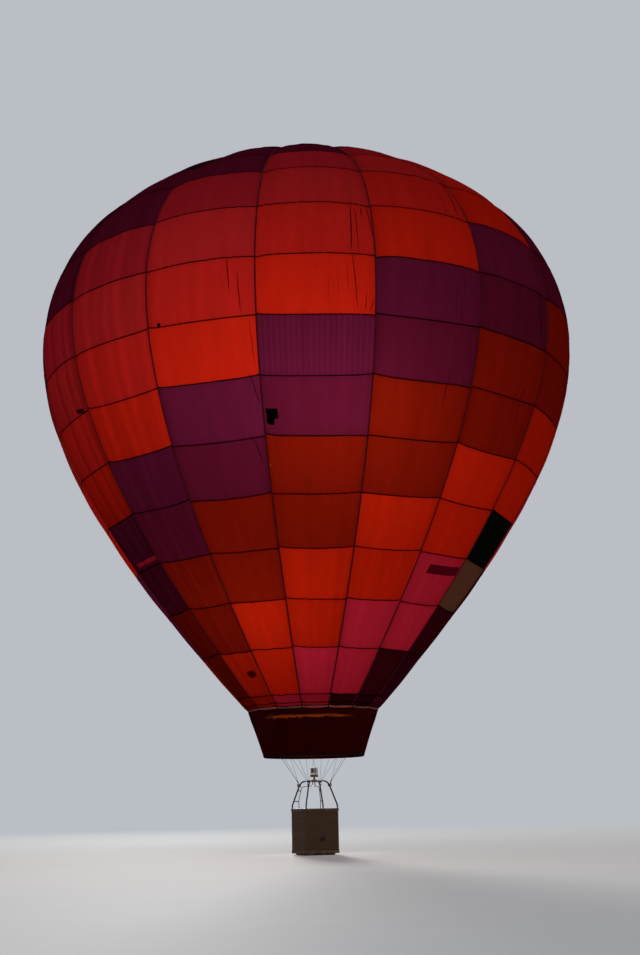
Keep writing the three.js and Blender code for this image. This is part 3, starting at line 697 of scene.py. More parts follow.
def make_cloth_mesh(name, pieces):
    """A mesh of dyed parts, each with its faces' dyes and their corners' tones."""
    parts, face_dyes, tones = zip(*pieces)
    mesh = make_mesh(name, joined(parts))
    store_dyes(mesh, np.concatenate(face_dyes), np.concatenate(tones))
    return mesh


gore_names = [f"gore_{gore + 1:02d}" for gore in range(gores)]
for gore, name in enumerate(gore_names):
    pieces = [gore_part(gore, pleated_columns if gore == pleated_gore else cloth_columns)]
    pieces += [shadow_crease_part(*shadow_crease) for shadow_crease in (*shadow_creases_seen, *shadow_creases_unseen) if shadow_crease[0] == gore]
    slot = "purple_cloth" if gore % 3 == 2 else "scarlet_cloth"
    cloth = make_piece(f"{name}_cloth", make_cloth_mesh(f"{name}_cloth", pieces), balloon_cloth, slot, name)

# gore counted from 0, place across and up, half width and height in metres, roundness from 0 to 1,
# turn in degrees, dye and tone
sewn_patches = (
    (1, 0.230, 4.40, 0.640, 0.132, 0.0, 1, 7, 1.9),
    (15, -0.835, 8.29, 0.145, 0.125, 0.15, 4, 17, 0.25),
    (15, -0.870, 8.13, 0.095, 0.130, 0.45, -6, 17, 0.25),
    (12, 0.690, 9.32, 0.240, 0.060, 0.5, -12, 5, 0.5),
    (14, -0.775, 10.75, 0.055, 0.050, 1.0, 0, 15, 0.3),
    (13, 0.367, 1.15, 0.170, 0.115, 0.8, 15, 5, 1.30),
    (13, 0.367, 1.14, 0.100, 0.085, 1.0, 0, 5, 0.70),
    # a pale dot of painted light, where light shines through a pin hole
    (15, -0.958, 7.00, 0.026, 0.030, 1.0, 0, 18, 1.0),
)


def patch_part(gore, across, up, half_x, half_y, roundness, turn, dye, tone):
    """A patch sewn on the cloth: it follows it 3 mm proud, its edge turned down."""
    v, u = np.meshgrid(np.linspace(-1, 1, 17), np.linspace(-1, 1, 17), indexing="ij")
    x = half_x * u * np.sqrt(1 - roundness * v * v / 2)
    y = half_y * v * np.sqrt(1 - roundness * u * u / 2)
    cosine, sine = math.cos(math.radians(turn)), math.sin(math.radians(turn))
    x, y = x * cosine - y * sine, x * sine + y * cosine
    lift = np.where(np.maximum(abs(u), abs(v)) > 0.99, 0.0006, 0.0035)
    points = on_gore(gore, across + x / half_width(up + y), up + y, lift)
    part = skin(points, np.stack([x, y], -1), wrap=False)
    return part, [dye] * len(part[1]), np.full((len(part[1]), 4), tone)


patch_mesh = make_cloth_mesh("sewn_patches", [patch_part(*patch) for patch in sewn_patches])
make_piece("sewn_patches", patch_mesh, balloon_cloth, "scarlet_cloth")


# Load tapes
# Sixteen polyester webbings, each sewn down over the seam between two gores with two rows of zigzag
# stitches. They carry the load from the mouth to the vent's edge.
tape_width = 0.042
tape_thickness = 0.004


def unit(vectors):
    """The same vectors, each of length one."""
    return vectors / np.linalg.norm(vectors, axis=-1, keepdims=True)


def run_along(path):
    """Distance along a path, at each of its points."""
    return sums(np.linalg.norm(np.diff(path, axis=0), axis=1))


def directions(path, closed=False):
    """Unit vectors along a path."""
    ahead = np.roll(path, -1, axis=0) - np.roll(path, 1, axis=0) if closed else np.gradient(path, axis=0)
    return unit(ahead)


def band(path, across, outwards, width, thickness, lift=0.0, closed=False):
    """A flat band along a path, with its faces turned to outwards, closed on itself or ending."""
    path, across, outwards = (np.asarray(v, float) for v in (path, across, outwards))
    corners = ((-1, 0), (-1, 1), (1, 1), (1, 0))
    loops = [path + across * (x * width / 2) + outwards * (lift + y * thickness) for x, y in corners]
    flat = np.stack(np.meshgrid([x * width / 2 for x, y in corners], run_along(path)), -1)
    return skin(np.stack(loops, 1), flat, ends="joined" if closed else "capped")


def seam_band(up, width, lift):
    """A tape up the meridian over -Y."""
    radius, height, lean = meridian(up)
    outwards = polar(np.cos(lean), -np.sin(lean), 0.0)
    return band(polar(radius, height, 0.0), (1, 0, 0), outwards, width, tape_thickness, lift)


def end_tree(tree, geometry, finish, result):
    """Makes a tree's instances real, smooth and finished."""
    real = put(tree, "GeometryNodeRealizeInstances", {0: geometry}).outputs[0]
    smooth = put(tree, "GeometryNodeSetShadeSmooth", {0: real}).outputs[0]
    finished = put(tree, "GeometryNodeSetMaterial", {"Geometry": smooth, "Material": finish}).outputs[0]
    tree.links.new(finished, result[0])
    return tree


def ring_tree():
    """Repeats what it is given round the Z axis."""
    inputs = {"Piece": "Geometry", "Count": "Int", "First angle": "Float", "Finish": "Material"}
    tree, given, result = new_tree("repeat_round_the_axis", "GeometryNodeTree", inputs, {"Ring": "Geometry"})
    step = maths(tree, "DIVIDE", 2 * math.pi, given["Count"])
    index = put(tree, "GeometryNodeInputIndex").outputs[0]
    angle = maths(tree, "MULTIPLY_ADD", step, index, given["First angle"])
    turn = put(tree, "ShaderNodeCombineXYZ", {"Z": angle}).outputs[0]
    centres = put(tree, "GeometryNodePoints", {"Count": given["Count"]}).outputs[0]
    placed = {"Points": centres, "Instance": given["Piece"], "Rotation": turn}
    placed = put(tree, "GeometryNodeInstanceOnPoints", placed).outputs[0]
    return end_tree(tree, placed, given["Finish"], result)


def modified(base, kind, settings, inputs=()):
    """The plain mesh that a modifier makes of a base mesh."""
    carrier = place_object("carrier", base)
    modifier = carrier.modifiers.new("shape", kind)
    for name, value in settings.items():
        setattr(modifier, name, value)
    if inputs:
        for item in modifier.node_group.interface.items_tree:
            if item.in_out == "INPUT" and item.name in inputs:
                modifier[item.identifier] = inputs[item.name]
    view = bpy.context.evaluated_depsgraph_get()
    mesh = bpy.data.meshes.new_from_object(carrier.evaluated_get(view))
    carrier.modifiers.remove(modifier)
    bpy.data.objects.remove(carrier)
    return mesh


def grow_piece(name, base, tree, inputs, material, slot, *replaced):
    """A piece that a Geometry Nodes tree makes of a base mesh."""
    mesh = modified(base, "NODES", {"node_group": tree}, {**inputs, "Finish": material})
    mesh.name = name
    return make_piece(name, mesh, material, slot, *replaced)


def surface(tree, colour, roughness, bump, metallic=0.0, gloss=0.5):
    """Ends a material in one plain surface."""
    inputs = {"Base Color": colour, "Roughness": roughness, "Normal": bump}
    inputs |= {"Metallic": metallic, "Specular IOR Level": gloss}
    end_material(tree, put(tree, "ShaderNodeBsdfPrincipled", inputs))


def darker(colour, share):
    return tuple(share * c for c in colour)


def webbing_material(name, colour, stitch_at):
    """Woven webbing: fine ribs across it, dusty wear and two rows of zigzag stitches."""
    material, tree = start_material(name)
    cut = cut_place(tree)
    sides = sides_of(tree, cut)
    rib, cord = [
        maths(tree, "DIVIDE", maths(tree, "PINGPONG", sides[side], pitch), pitch)
        for side, pitch in (("Y", 0.0012), ("X", 0.0016))
    ]
    weave = maths(tree, "MULTIPLY", rib, cord)
    worn = spread(tree, noise(tree, cut, 3.0, 6.0), 0.35, 0.75, 0.75, 1.5)
    tone = mixed(tree, 1.0, colour, worn, "MULTIPLY")
    tone = mixed(tree, weave, tone, darker(colour, 0.55))
    stitch = effect(tree, zigzag_stitches, {"Place": cut, "Distance": stitch_at})["Stitch"]
    tone = mixed(tree, stitch, tone, tuple(min(1, 3.0 * c + 0.02) for c in colour))
    surface(tree, tone, 0.9, bumped(tree, maths(tree, "ADD", weave, stitch), 0.35, 0.0006), gloss=0.03)
    return material


round_the_axis = ring_tree()
on_the_seams = {"Count": gores, "First angle": half_gore}
tape_webbing = webbing_material("load_tape_webbing", (0.075, 0.0036, 0.0060), 0.011)
tape = make_mesh("load_tape", seam_band(np.linspace(0, vent_edge, 150), tape_width, 0.0005), 30)
grow_piece("load_tapes", tape, round_the_axis, on_the_seams, tape_webbing, "webbing")


# Row seams
# Where two rows of a gore's panels meet, both edges are folded into each other and sewn flat: a strip
# four layers thick, which lets little light through. The hem has two more strips, and the gores' top edge has
# webbing round the vent.
seam_strip = 0.032
hem_strips = (0.016, 0.13)
seam_tone = 0.30


def cloth_band(path, above, width, thickness, closed=False):
    """A band laid on cloth along a path, square to it."""
    along = directions(path, closed)
    down = path - above
    down = unit(down - (down * along).sum(1, keepdims=True) * along)
    return band(path, down, np.cross(down, along), width, thickness, closed=closed)


def cross_band(gore, up, width, thickness):
    """A band from tape to tape over a gore's cloth."""
    across = np.linspace(-1, 1, 25)
    path, above = [on_gore(gore, across, np.full_like(across, u), lift=0.004) for u in (up, up + 0.02)]
    return cloth_band(path, above, width, thickness)


strips, strip_dyes = [], []
for gore in range(gores):
    for row, up in [(0, hem) for hem in hem_strips] + list(enumerate(seam_up[1:vent_row], 1)):
        strips.append(cross_band(gore, up, seam_strip, 0.002))
        seam_dye = min(dye_of(gore, row), dye_of(gore, max(row - 1, 0)), key=lambda step: dyes[step][0])
        strip_dyes += [seam_dye] * len(strips[-1][1])

seam_cloth = balloon_cloth_material("folded_seam_cloth", stitch_at=0.006)
row_seams = make_mesh("row_seams", joined(strips), 30)
store_dyes(row_seams, strip_dyes, np.full(len(row_seams.loops), seam_tone))
make_piece("row_seams", row_seams, seam_cloth, "scarlet_cloth")

edge_webbing = webbing_material("edge_webbing", (0.014, 0.0010, 0.002), 0.006)
edges = [cross_band(gore, vent_edge - 0.020, 0.040, 0.003) for gore in range(gores)]
make_piece("vent_edge_webbing", joined(edges), edge_webbing, "webbing", sharp_over=30)


# Parachute vent
# A round dome of the same cloth that closes the hole in the crown. It lies against the gores' top edge
# from inside, held up by the hot air, and comes down when the pilot pulls.
vent_overlap = 0.25
vent_depth = 0.0125
vent_columns = gores * 8
vent_rings = 22
vent_tone = 0.82
vent_swell, free_from = 0.045, 0.8
cap_steps, cap_rise, cap_dye = 7, 0.012, 14


def vent_part():
    """The vent's dome with a small cap over its middle, and each face's dye."""
    up = np.linspace(vent_edge - vent_overlap, seam_up[-1], vent_rings)
    radius, height, lean = meridian(up)
    radius, height = radius - vent_depth * np.cos(lean), height + vent_depth * np.sin(lean)
    cap = np.linspace(1, 0.02, cap_steps + 1)[1:]
    radius = np.concatenate([radius, radius[-1] * cap])
    height = np.concatenate([height, height[-1] + cap_rise * (1 - cap ** 2)])
    up = np.concatenate([up, up[-1] + radius[vent_rings - 1] * (1 - cap)])
    angle = turns(vent_columns) + half_gore
    lobe = np.sin((angle - half_gore) * gores / 2) ** 2
    free = np.clip((up - vent_edge) / free_from, 0, 1) * np.clip((up[-1] - up) / free_from, 0, 1)
    points = polar(radius[:, None], height[:, None] + vent_swell * free[:, None] * lobe, angle)
    points, faces, flat = skin(points, points[..., :2])
    faces.append(list(range(len(points) - vent_columns, len(points))))
    rows = row_at(np.minimum((up[1:] + up[:-1]) / 2, seam_up[-1] - 0.01))[0]
    under = np.arange(vent_columns) // (vent_columns // gores) + 1
    steps = [dye_of(gore % gores, row) for row in rows.tolist() for gore in under.tolist()]
    return (points, faces, flat), steps + [cap_dye]


dome, vent_steps = vent_part()
vent_mesh = make_mesh("parachute_vent_cloth", dome)
store_dyes(vent_mesh, vent_steps, np.full(len(vent_mesh.loops), vent_tone))
vent_piece = ("parachute_vent_cloth", vent_mesh, balloon_cloth, "purple_cloth", "parachute_vent")
vent_cloth = make_piece(*vent_piece, body="vent")


# Crown webbing and ring
# The sixteen tapes run on over the vent to a sewn ring of webbing at the crown, and a smooth alloy ring
# is laced to it for the crown line.
crown_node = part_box("crown_ring")
crown_tape_lift, crown_tape_end_lift = 0.0048, 0.0020
sewn_top = crown_node[0].z - 0.0002
sewn_bottom = sewn_top - 0.0055


def lathe(profile, slices, ends="joined"):
    """A profile of (radius, height) points turned round the Z axis, closed on itself or capped."""
    profile = np.asarray(profile, float)
    angle = turns(slices)
    mean = max(float(profile[:, 0].mean()), 1e-3)
    flat = np.stack(np.meshgrid(angle * mean, run_along(profile)), -1)
    return skin(polar(profile[:, :1], profile[:, 1:], angle), flat, ends=ends)


def square(left, right, low, high):
    """A rectangle, anticlockwise from the lower left corner."""
    return [(left, low), (right, low), (right, high), (left, high)]


def rounded(left, right, low, high, corner, steps=5):
    """A rectangle with round corners, anticlockwise from the lower right one."""
    left, right, low, high = left + corner, right - corner, low + corner, high - corner
    points = []
    for x, y, first in ((right, low, -90), (right, high, 0), (left, high, 90), (left, low, 180)):
        arc = np.radians(np.linspace(first, first + 90, steps + 1))
        points.append(np.stack([x + corner * np.cos(arc), y + corner * np.sin(arc)], -1))
    return np.concatenate(points)


crown_up = np.linspace(vent_edge - 0.30, seam_up[-1], 24)
crown_lift = np.interp(crown_up, [vent_edge + 0.1, seam_up[-1]], [crown_tape_lift, crown_tape_end_lift])
crown_tape = make_mesh("crown_tape", seam_band(crown_up, 0.040, crown_lift[:, None]), 30)
grow_piece("crown_webbing", crown_tape, round_the_axis, on_the_seams, tape_webbing, "webbing", "crown_tapes")
sewn_ring = lathe(square(crown_inner, sewn_outer, sewn_bottom, sewn_top), 64)
make_piece("crown_sewn_ring", sewn_ring, tape_webbing, "webbing", sharp_over=30)


def metal_material(name, colour, roughness, scratches, heated=None):
    """Worked metal: fine scratches, smears in its polish and, between two heights, temper colours."""
    material, tree = start_material(name)
    place = object_place(tree)
    smears = noise(tree, place, 14.0, 5.0)
    long_way = stretched(tree, place, (30.0, 30.0, 900.0))
    tone = mixed(tree, smears, colour, darker(colour, 0.72))
    if heated:
        wavy = maths(tree, "MULTIPLY_ADD", smears, 0.03, sides_of(tree, place)["Z"])
        share = spread(tree, wavy, *heated)
        ramp = put(tree, "ShaderNodeValToRGB", {0: share})
        stops = ramp.color_ramp.elements
        stops[0].color, stops[1].color = (0.20, 0.17, 0.14, 1), (0.07, 0.058, 0.065, 1)
        straw, violet, blue = (0.32, 0.21, 0.10, 1), (0.22, 0.09, 0.08, 1), (0.09, 0.09, 0.17, 1)
        for position, hue in ((0.35, straw), (0.55, violet), (0.75, blue)):
            stops.new(position).color = hue
        tone = mixed(tree, 0.8, tone, ramp.outputs[0])
    rough = spread(tree, smears, 0.3, 0.8, roughness, roughness + 0.18)
    scratched = bumped(tree, noise(tree, long_way, 1.0, 3.0), scratches, 0.0004)
    surface(tree, tone, rough, scratched, metallic=1.0)
    return material


alloy = metal_material("brushed_alloy", (0.62, 0.63, 0.65), 0.34, 0.25)
crown_section = rounded(crown_inner, crown_outer, crown_node[0].z, crown_node[1].z, 0.006)
make_piece("crown_alloy_ring", lathe(crown_section, 96), alloy, "alloy", "crown_ring", sharp_over=50)


# Skirt
# A tapered tube of heavy flame-proof cloth that hangs by short tabs from the hem, so that daylight shows
# between them; a pale band of painted light stands in that gap. Its bottom is held open by a steel hoop in a
# sewn sleeve.
skirt_bottom_radius = 1.37
skirt_bottom = ground + 2.60
skirt_top_drop, skirt_scallop, skirt_tuck = 0.044, 0.022, 0.018
skirt_columns, skirt_rings = gores * 16, 22
painted_light_height = skirt_bottom + 1.02
painted_light_towards = polar(1.0, 0.0, math.radians(-30)).tolist()
skirt_phases = np.random.default_rng(7).uniform(0, 2 * math.pi, 6)


def on_skirt(angle, share, lift=0.0):
    """Points on the skirt, at an angle round the axis and a share of the way up it."""
    across = (angle / (2 * half_gore) + 0.5) % 1 * 2 - 1
    between = 1 - across ** 2
    top_radius = mouth_radius - 0.004 - skirt_tuck * between
    top = mouth_height - skirt_top_drop - skirt_scallop * between
    creases = sum(
        depth * np.sin(count * angle + phase + 1.5 * share)
        for depth, count, phase in zip((0.006, 0.004, 0.003, 0.0015), (9, 22, 37, 71), skirt_phases)
    )
    pulled = 0.014 * np.cos(across * 3 * math.pi) * np.clip(share, 0, 1) ** 3
    pulled = pulled * (1 - np.clip(share - 0.8, 0, 1) * 4)
    hollow = -0.010 * np.sin(math.pi * share)
    loose = np.clip(share * 8, 0, 1) * np.clip((1 - share) * 6, 0, 1)
    radius = skirt_bottom_radius + (top_radius - skirt_bottom_radius) * share
    radius = radius + hollow + creases * loose + pulled + lift
    return polar(radius, skirt_bottom + (top - skirt_bottom) * share, angle)


def heavy_cloth_material():
    """Flame-proof cloth, sooty inside, with a ragged orange band of painted light across one side below its
    top.
    """
    material, tree = start_material("skirt_cloth")
    cut = cut_place(tree)
    place = object_place(tree)
    ragged = noise(tree, place, 5.0, 6.0)
    wavy = maths(tree, "MULTIPLY_ADD", ragged, 0.16, sides_of(tree, place)["Z"])
    # Painted light: a ragged orange band at one height, only on the side that faces one way.
    off = maths(tree, "ABSOLUTE", maths(tree, "SUBTRACT", wavy, painted_light_height + 0.08))
    facing = put(tree, "ShaderNodeVectorMath", {0: place, 1: painted_light_towards}, operation="DOT_PRODUCT")
    window = spread(tree, facing.outputs["Value"], 1.15, 1.60, way="SMOOTHSTEP")
    painted_light = maths(tree, "MULTIPLY", spread(tree, off, 0.012, 0.055, 1.0, 0.0), window)
    painted_light = maths(tree, "MULTIPLY", painted_light, spread(tree, ragged, 0.36, 0.60, 0.25))
    creases = effect(tree, crumple, {"Place": cut, "Creases": 0.6})["Height"]
    weave = effect(tree, ripstop, {"Place": cut, "Step": 0.004})["Thread"]
    soot = spread(tree, noise(tree, cut, 1.3, 5.0), 0.45, 0.75)
    tone = mixed(tree, soot, (0.085, 0.0040, 0.0035), (0.050, 0.0028, 0.0030))
    tone = mixed(tree, painted_light, tone, (1.0, 0.165, 0.022))
    tone = mixed(tree, maths(tree, "MULTIPLY", weave, 0.25), tone, (0.0, 0.0, 0.0))
    thin_cloth(tree, tone, creases, 0.34, 0.7)
    return material


skirt_turn = turns(skirt_columns)
angle_grid, share_grid = np.meshgrid(skirt_turn, np.linspace(0, 1, skirt_rings))
skirt_flat = np.stack([angle_grid * mouth_radius, share_grid * (mouth_height - skirt_bottom)], -1)
skirt_part = skin(on_skirt(angle_grid, share_grid), skirt_flat)
skirt = make_piece("skirt_cloth", skirt_part, heavy_cloth_material(), "skirt_cloth", "skirt")

# share of the skirt's height and width of each band sewn round it
skirt_hems = []
for share, width in ((0.985, 0.035), (0.80, 0.018), (0.030, 0.055)):
    path, above = [on_skirt(skirt_turn, np.full(skirt_columns, s), 0.0015) for s in (share, share + 0.02)]
    skirt_hems.append(cloth_band(path, above, width, 0.0025, closed=True))

skirt_webbing = webbing_material("skirt_webbing", (0.012, 0.0010, 0.0016), 0.006)
make_piece("skirt_hems", joined(skirt_hems), skirt_webbing, "webbing", sharp_over=30)

hoop_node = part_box("skirt_hoop")
hoop_middle = (hoop_node[1].x - 0.004, (hoop_node[0].z + hoop_node[1].z) / 2)


def circle(radius, sides, x=0.0, y=0.0):
    return np.stack([x + radius * np.cos(turns(sides)), y + radius * np.sin(turns(sides))], -1)


sleeve = lathe(circle(0.0125, 12, *hoop_middle), 160)
make_piece("skirt_hoop_sleeve", sleeve, skirt_webbing, "webbing", "skirt_hoop")

# A pale band of painted light behind the gap between the hem and the skirt's tabs, where daylight shows,
# brighter in places.
light_band_turn = turns(gores * 12)
light_band_height = mouth_height - 0.022 - 0.008 * np.abs(np.sin(light_band_turn * gores / 2 - math.pi / 2))
light_band_path = polar(mouth_radius - 0.012, light_band_height, light_band_turn)
light_band_out = polar(1.0, 0.0, light_band_turn)
light_band_part = band(light_band_path, (0, 0, -1), light_band_out, 0.044, 0.0015, closed=True)
light_band = make_mesh("mouth_light_band", light_band_part, 40)
light_band_corners = light_band_part[0][np.array(light_band_part[1])]
light_band_angle = np.arctan2(light_band_corners[..., 0], -light_band_corners[..., 1])
light_band_brightness = 1.05 + 0.25 * np.sin(11 * light_band_angle + 1.0) * np.sin(5 * light_band_angle)
store_dyes(light_band, np.full(len(light_band.polygons), painted_light_step), light_band_brightness)
make_piece("mouth_light_band", light_band, balloon_cloth, "scarlet_cloth")

tab_bends = ((0, 0.004), (0.001, -0.02), (0.004, -0.060))
tab_path = [(0, inwards - mouth_radius, mouth_height + up) for inwards, up in tab_bends]
tab = make_mesh("skirt_tab", band(tab_path, (-1, 0, 0), (0, -1, 0), 0.034, 0.003, lift=-0.004), 30)
grow_piece("skirt_tabs", tab, round_the_axis, on_the_seams, skirt_webbing, "webbing")


# Flying wires
# Sixteen stainless wire ropes, four to each corner of the basket. Each has a thimble at the hem, pressed
# ferrules at both ends, and its lower eye in a steel link that hangs in the lug of its upright.
corners = (("front_right", 1), ("back_right", 3), ("back_left", 5), ("front_left", 7))
wire_radius = 0.0035
thimble_height = 0.015
link_place, link_height = 0.474, ground + 1.9003
link_bar, link_half_width, link_half_height = 0.0062, 0.024, 0.044
lug_top = ground + 1.880
ferrule = ((0.022, 0.0045), (0.026, 0.007), (0.054, 0.007), (0.058, 0.0045))


def tube(path, radius, sides, ends="capped"):
    """A round skin along a path, with one radius or one for each of its points."""
    path = np.asarray(path, float)
    radius = np.broadcast_to(radius, len(path)).astype(float)
    along = directions(path)
    first = np.cross(along[0], (0, 0, 1))
    if np.linalg.norm(first) < 0.1:
        first = np.cross(along[0], (1, 0, 0))
    normals = [unit(first)]
    for ahead in along[1:]:
        normals.append(unit(normals[-1] - ahead * (normals[-1] @ ahead)))
    turn = turns(sides)[:, None]
    spokes = np.cos(turn) * np.array(normals)[:, None] + np.sin(turn) * np.cross(along, normals)[:, None]
    flat = np.stack(np.meshgrid(turn * radius.mean(), run_along(path)), -1)
    return skin(path[:, None] + radius[:, None, None] * spokes, flat, ends=ends)


def stepped(start, direction, stations, sides):
    """A turned fitting: from its start in a direction, with (distance, radius) stations."""
    distance, radius = np.array(stations, float).T
    return tube(np.asarray(start, float) + distance[:, None] * np.asarray(direction, float), radius, sides)


def moved(part, *matrices):
    """A part carried by one matrix or several, the last one first."""
    points = np.asarray(part[0], float)
    for matrix in matrices[::-1]:
        points = points @ np.array(matrix.to_3x3()).T + np.array(matrix.translation)
    return points, part[1], part[2]


def shifted(place):
    return Matrix.Translation(Vector(place))


def spun(angle):
    return Matrix.Rotation(angle, 4, "Z")


def oval_link(half_width, half_height, radius, sides=10, steps=10):
    """A closed link in the XZ plane with round ends, of round bar."""
    straight = half_height - half_width
    turn = np.linspace(0, math.pi, steps)
    top = np.stack([half_width * np.cos(turn), 0 * turn, straight + half_width * np.sin(turn)], -1)
    loop = np.concatenate([top, -top])
    points, faces, flat = tube(np.concatenate([loop, loop[:1]]), radius, sides, ends=None)
    count = sides * len(loop)
    return points[:count], [[c % count for c in face] for face in faces], flat[:count]


def wire_parts(corner):
    """Four wires of one corner with their thimbles and ferrules, and the link that gathers them."""
    parts = []
    across = polar(1.0, 0.0, corner + math.pi / 2)
    centre = polar(link_place, link_height, corner)
    radius, height, lean = (float(v[0]) for v in meridian(np.array([thimble_height])))
    radius, height = radius - 0.022 * math.cos(lean), height + 0.022 * math.sin(lean)
    for step in (-3, -1, 1, 3):
        heading = corner + step * half_gore
        top = polar(radius, height, heading)
        bottom = centre + across * (step / 2 * 0.008) + np.array([0, 0, 0.022])
        run = unit(top - bottom)
        parts.append(tube([bottom + run * 0.012, top - run * 0.016], wire_radius, 8))
        parts.append(stepped(bottom, run, ferrule, 10))
        parts.append(stepped(top, -run, ferrule, 10))
        parts.append(moved(oval_link(0.009, 0.014, 0.003), shifted(top), spun(heading)))
        parts.append(moved(oval_link(0.008, 0.013, 0.0028), shifted(bottom), spun(corner + math.pi / 2)))
    link = oval_link(link_half_width, link_half_height, link_bar, 12)
    return parts + [moved(link, shifted(centre - (0, 0, 0.008)), spun(corner))]


wire_steel = metal_material("wire_steel", (0.065, 0.060, 0.058), 0.50, 0.3)
for name, eighth in corners:
    wires = joined(wire_parts(eighth * math.pi / 4))
    make_piece(f"wire_ropes_{name}", wires, wire_steel, "steel", f"flying_wires_{name}", sharp_over=40)


# Uprights
# Four bent alloy tubes in padded leather sleeves, quilted and zipped along the inside. They stand in
# sockets on the rim and carry the burner's ring. A steel lug through each takes its wires' link.
pivot_height = ground + 1.955
rim_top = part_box("basket_rim")[1].z
upright_foot, upright_bend = 0.655, 0.388
frame_radius, frame_tube = 0.215, 0.014
sleeve_end, lug_inner, lug_outer = 0.272, 0.395, 0.500
lug_bottom, lug_thickness, lug_hole = ground + 1.800, 0.014, 0.011


def bent_path(points, cut_backs, spacing):
    """Straight stretches with their corners rounded, each from its own distance before the corner."""
    points = np.asarray(points, float)
    path = [points[:1]]
    t = np.linspace(0, 1, 24)[:, None]
    for before, corner, after, back in zip(points, points[1:], points[2:], cut_backs):
        enter, leave = corner + unit(before - corner) * back, corner + unit(after - corner) * back
        path.append((1 - t) ** 2 * enter + 2 * t * (1 - t) * corner + t * t * leave)
    path = np.concatenate([*path, points[-1:]])
    run = run_along(path)
    at = np.linspace(0, run[-1], max(2, int(round(run[-1] / spacing)) + 1))
    return np.stack([np.interp(at, run, places) for places in path.T], -1)


def plate(outline, holes, low, high):
    """A flat plate of an outline with holes, its thickness from low to high along Z."""
    loops = [np.asarray(loop, float) for loop in (outline, *holes)]
    flat = np.concatenate(loops)
    count = len(flat)
    triangles = tessellate_polygon([[Vector((x, y, 0)) for x, y in loop] for loop in loops])
    faces = []
    for a, b, c in triangles:
        clockwise = np.cross(flat[b] - flat[a], flat[c] - flat[a]) < 0
        top = [a, c, b] if clockwise else [a, b, c]
        faces += [[i + count for i in top], top[::-1]]
    start = 0
    for k, loop in enumerate(loops):
        x, y = loop.T
        leftwards = (x * np.roll(y, -1) - np.roll(x, -1) * y).sum() > 0
        for i in range(len(loop)):
            here, beside = start + i, start + (i + 1) % len(loop)
            side = [here, beside, beside + count, here + count]
            faces.append(side if leftwards == (k == 0) else side[::-1])
        start += len(loop)
    points = np.concatenate([np.column_stack([flat, np.full(count, z)]) for z in (low, high)])
    return points, faces, np.concatenate([flat, flat])


def bevelled(part, sharp_over, width, segments=2):
    """The plain mesh of a part with its sharp edges rounded off."""
    bevel = {"width": width, "segments": segments, "limit_method": "ANGLE", "angle_limit": math.radians(40)}
    mesh = modified(make_mesh("bevelled", part, sharp_over), "BEVEL", bevel)
    mesh.shade_smooth()
    mesh.set_sharp_from_angle(angle=math.radians(50))
    return mesh


def dotted_tree():
    """Short round stitches, beads or coils set along a path, each lying along it."""
    inputs = {"Path": "Geometry", "Spacing": "Float", "Thickness": "Float", "Length": "Float"}
    inputs["Finish"] = "Material"
    outputs = {"Stitches": "Geometry"}
    tree, given, result = new_tree("stitches_along_a_path", "GeometryNodeTree", inputs, outputs)
    line = put(tree, "GeometryNodeMeshToCurve", {0: given["Path"]}).outputs[0]
    spaced = {"Curve": line, "Length": given["Spacing"]}
    spaced = put(tree, "GeometryNodeCurveToPoints", spaced, mode="LENGTH").outputs
    bead = put(tree, "GeometryNodeMeshUVSphere", {"Segments": 6, "Rings": 4, "Radius": 0.5}).outputs[0]
    sizes = {"X": given["Thickness"], "Y": given["Thickness"], "Z": given["Length"]}
    placed = {"Points": spaced["Points"], "Instance": bead, "Rotation": spaced["Rotation"]}
    placed["Scale"] = put(tree, "ShaderNodeCombineXYZ", sizes).outputs[0]
    placed = put(tree, "GeometryNodeInstanceOnPoints", placed).outputs[0]
    return end_tree(tree, placed, given["Finish"], result)


def lines_mesh(name, paths, closed=False):
    """Bare edges along paths, for a Geometry Nodes tree to follow."""
    mesh = bpy.data.meshes.new(name)
    edges, start = [], 0
    for path in paths:
        count = len(path)
        edges += [(start + i, start + (i + 1) % count) for i in range(count if closed else count - 1)]
        start += count
    mesh.from_pydata(np.concatenate(paths).tolist(), edges, [])
    return mesh


def leather_grain_group():
    """Height and wear of leather: fine pebbles, broad creases, and paler places where hands rub it."""
    inputs, outputs = {"Place": "Vector", "Pebble size": "Float"}, {"Height": "Float", "Rubbed": "Float"}
    group, given, result = new_tree("leather_grain", "ShaderNodeTree", inputs, outputs)
    pebbles = {"Vector": given["Place"], "Scale": maths(group, "DIVIDE", 1.0, given["Pebble size"])}
    pebbles = put(group, "ShaderNodeTexVoronoi", pebbles).outputs["Distance"]
    height = maths(group, "MULTIPLY_ADD", noise(group, given["Place"], 45.0, 4.0), 1.6, pebbles)
    group.links.new(height, result["Height"])
    group.links.new(spread(group, noise(group, given["Place"], 9.0, 6.0), 0.48, 0.72), result["Rubbed"])
    return group


leather_grain = leather_grain_group()


def leather_material(name, colour, worn_colour, roughness, pebble=0.0016):
    material, tree = start_material(name)
    grain = effect(tree, leather_grain, {"Place": object_place(tree), "Pebble size": pebble})
    tone = mixed(tree, grain["Rubbed"], colour, worn_colour)
    rough = spread(tree, grain["Rubbed"], first=roughness, last=roughness - 0.15)
    surface(tree, tone, rough, bumped(tree, grain["Height"], 0.35, 0.0007), gloss=0.35)
    return material


sleeve_leather = leather_material("sleeve_leather", (0.012, 0.009, 0.008), (0.045, 0.032, 0.026), 0.55)
steel = metal_material("stainless_steel", (0.50, 0.50, 0.51), 0.28, 0.2)
frame_steel = metal_material("frame_steel", (0.20, 0.20, 0.21), 0.38, 0.2)
stitches = dotted_tree()
zip_coil = {"Spacing": 0.004, "Thickness": 0.0045, "Length": 0.003}
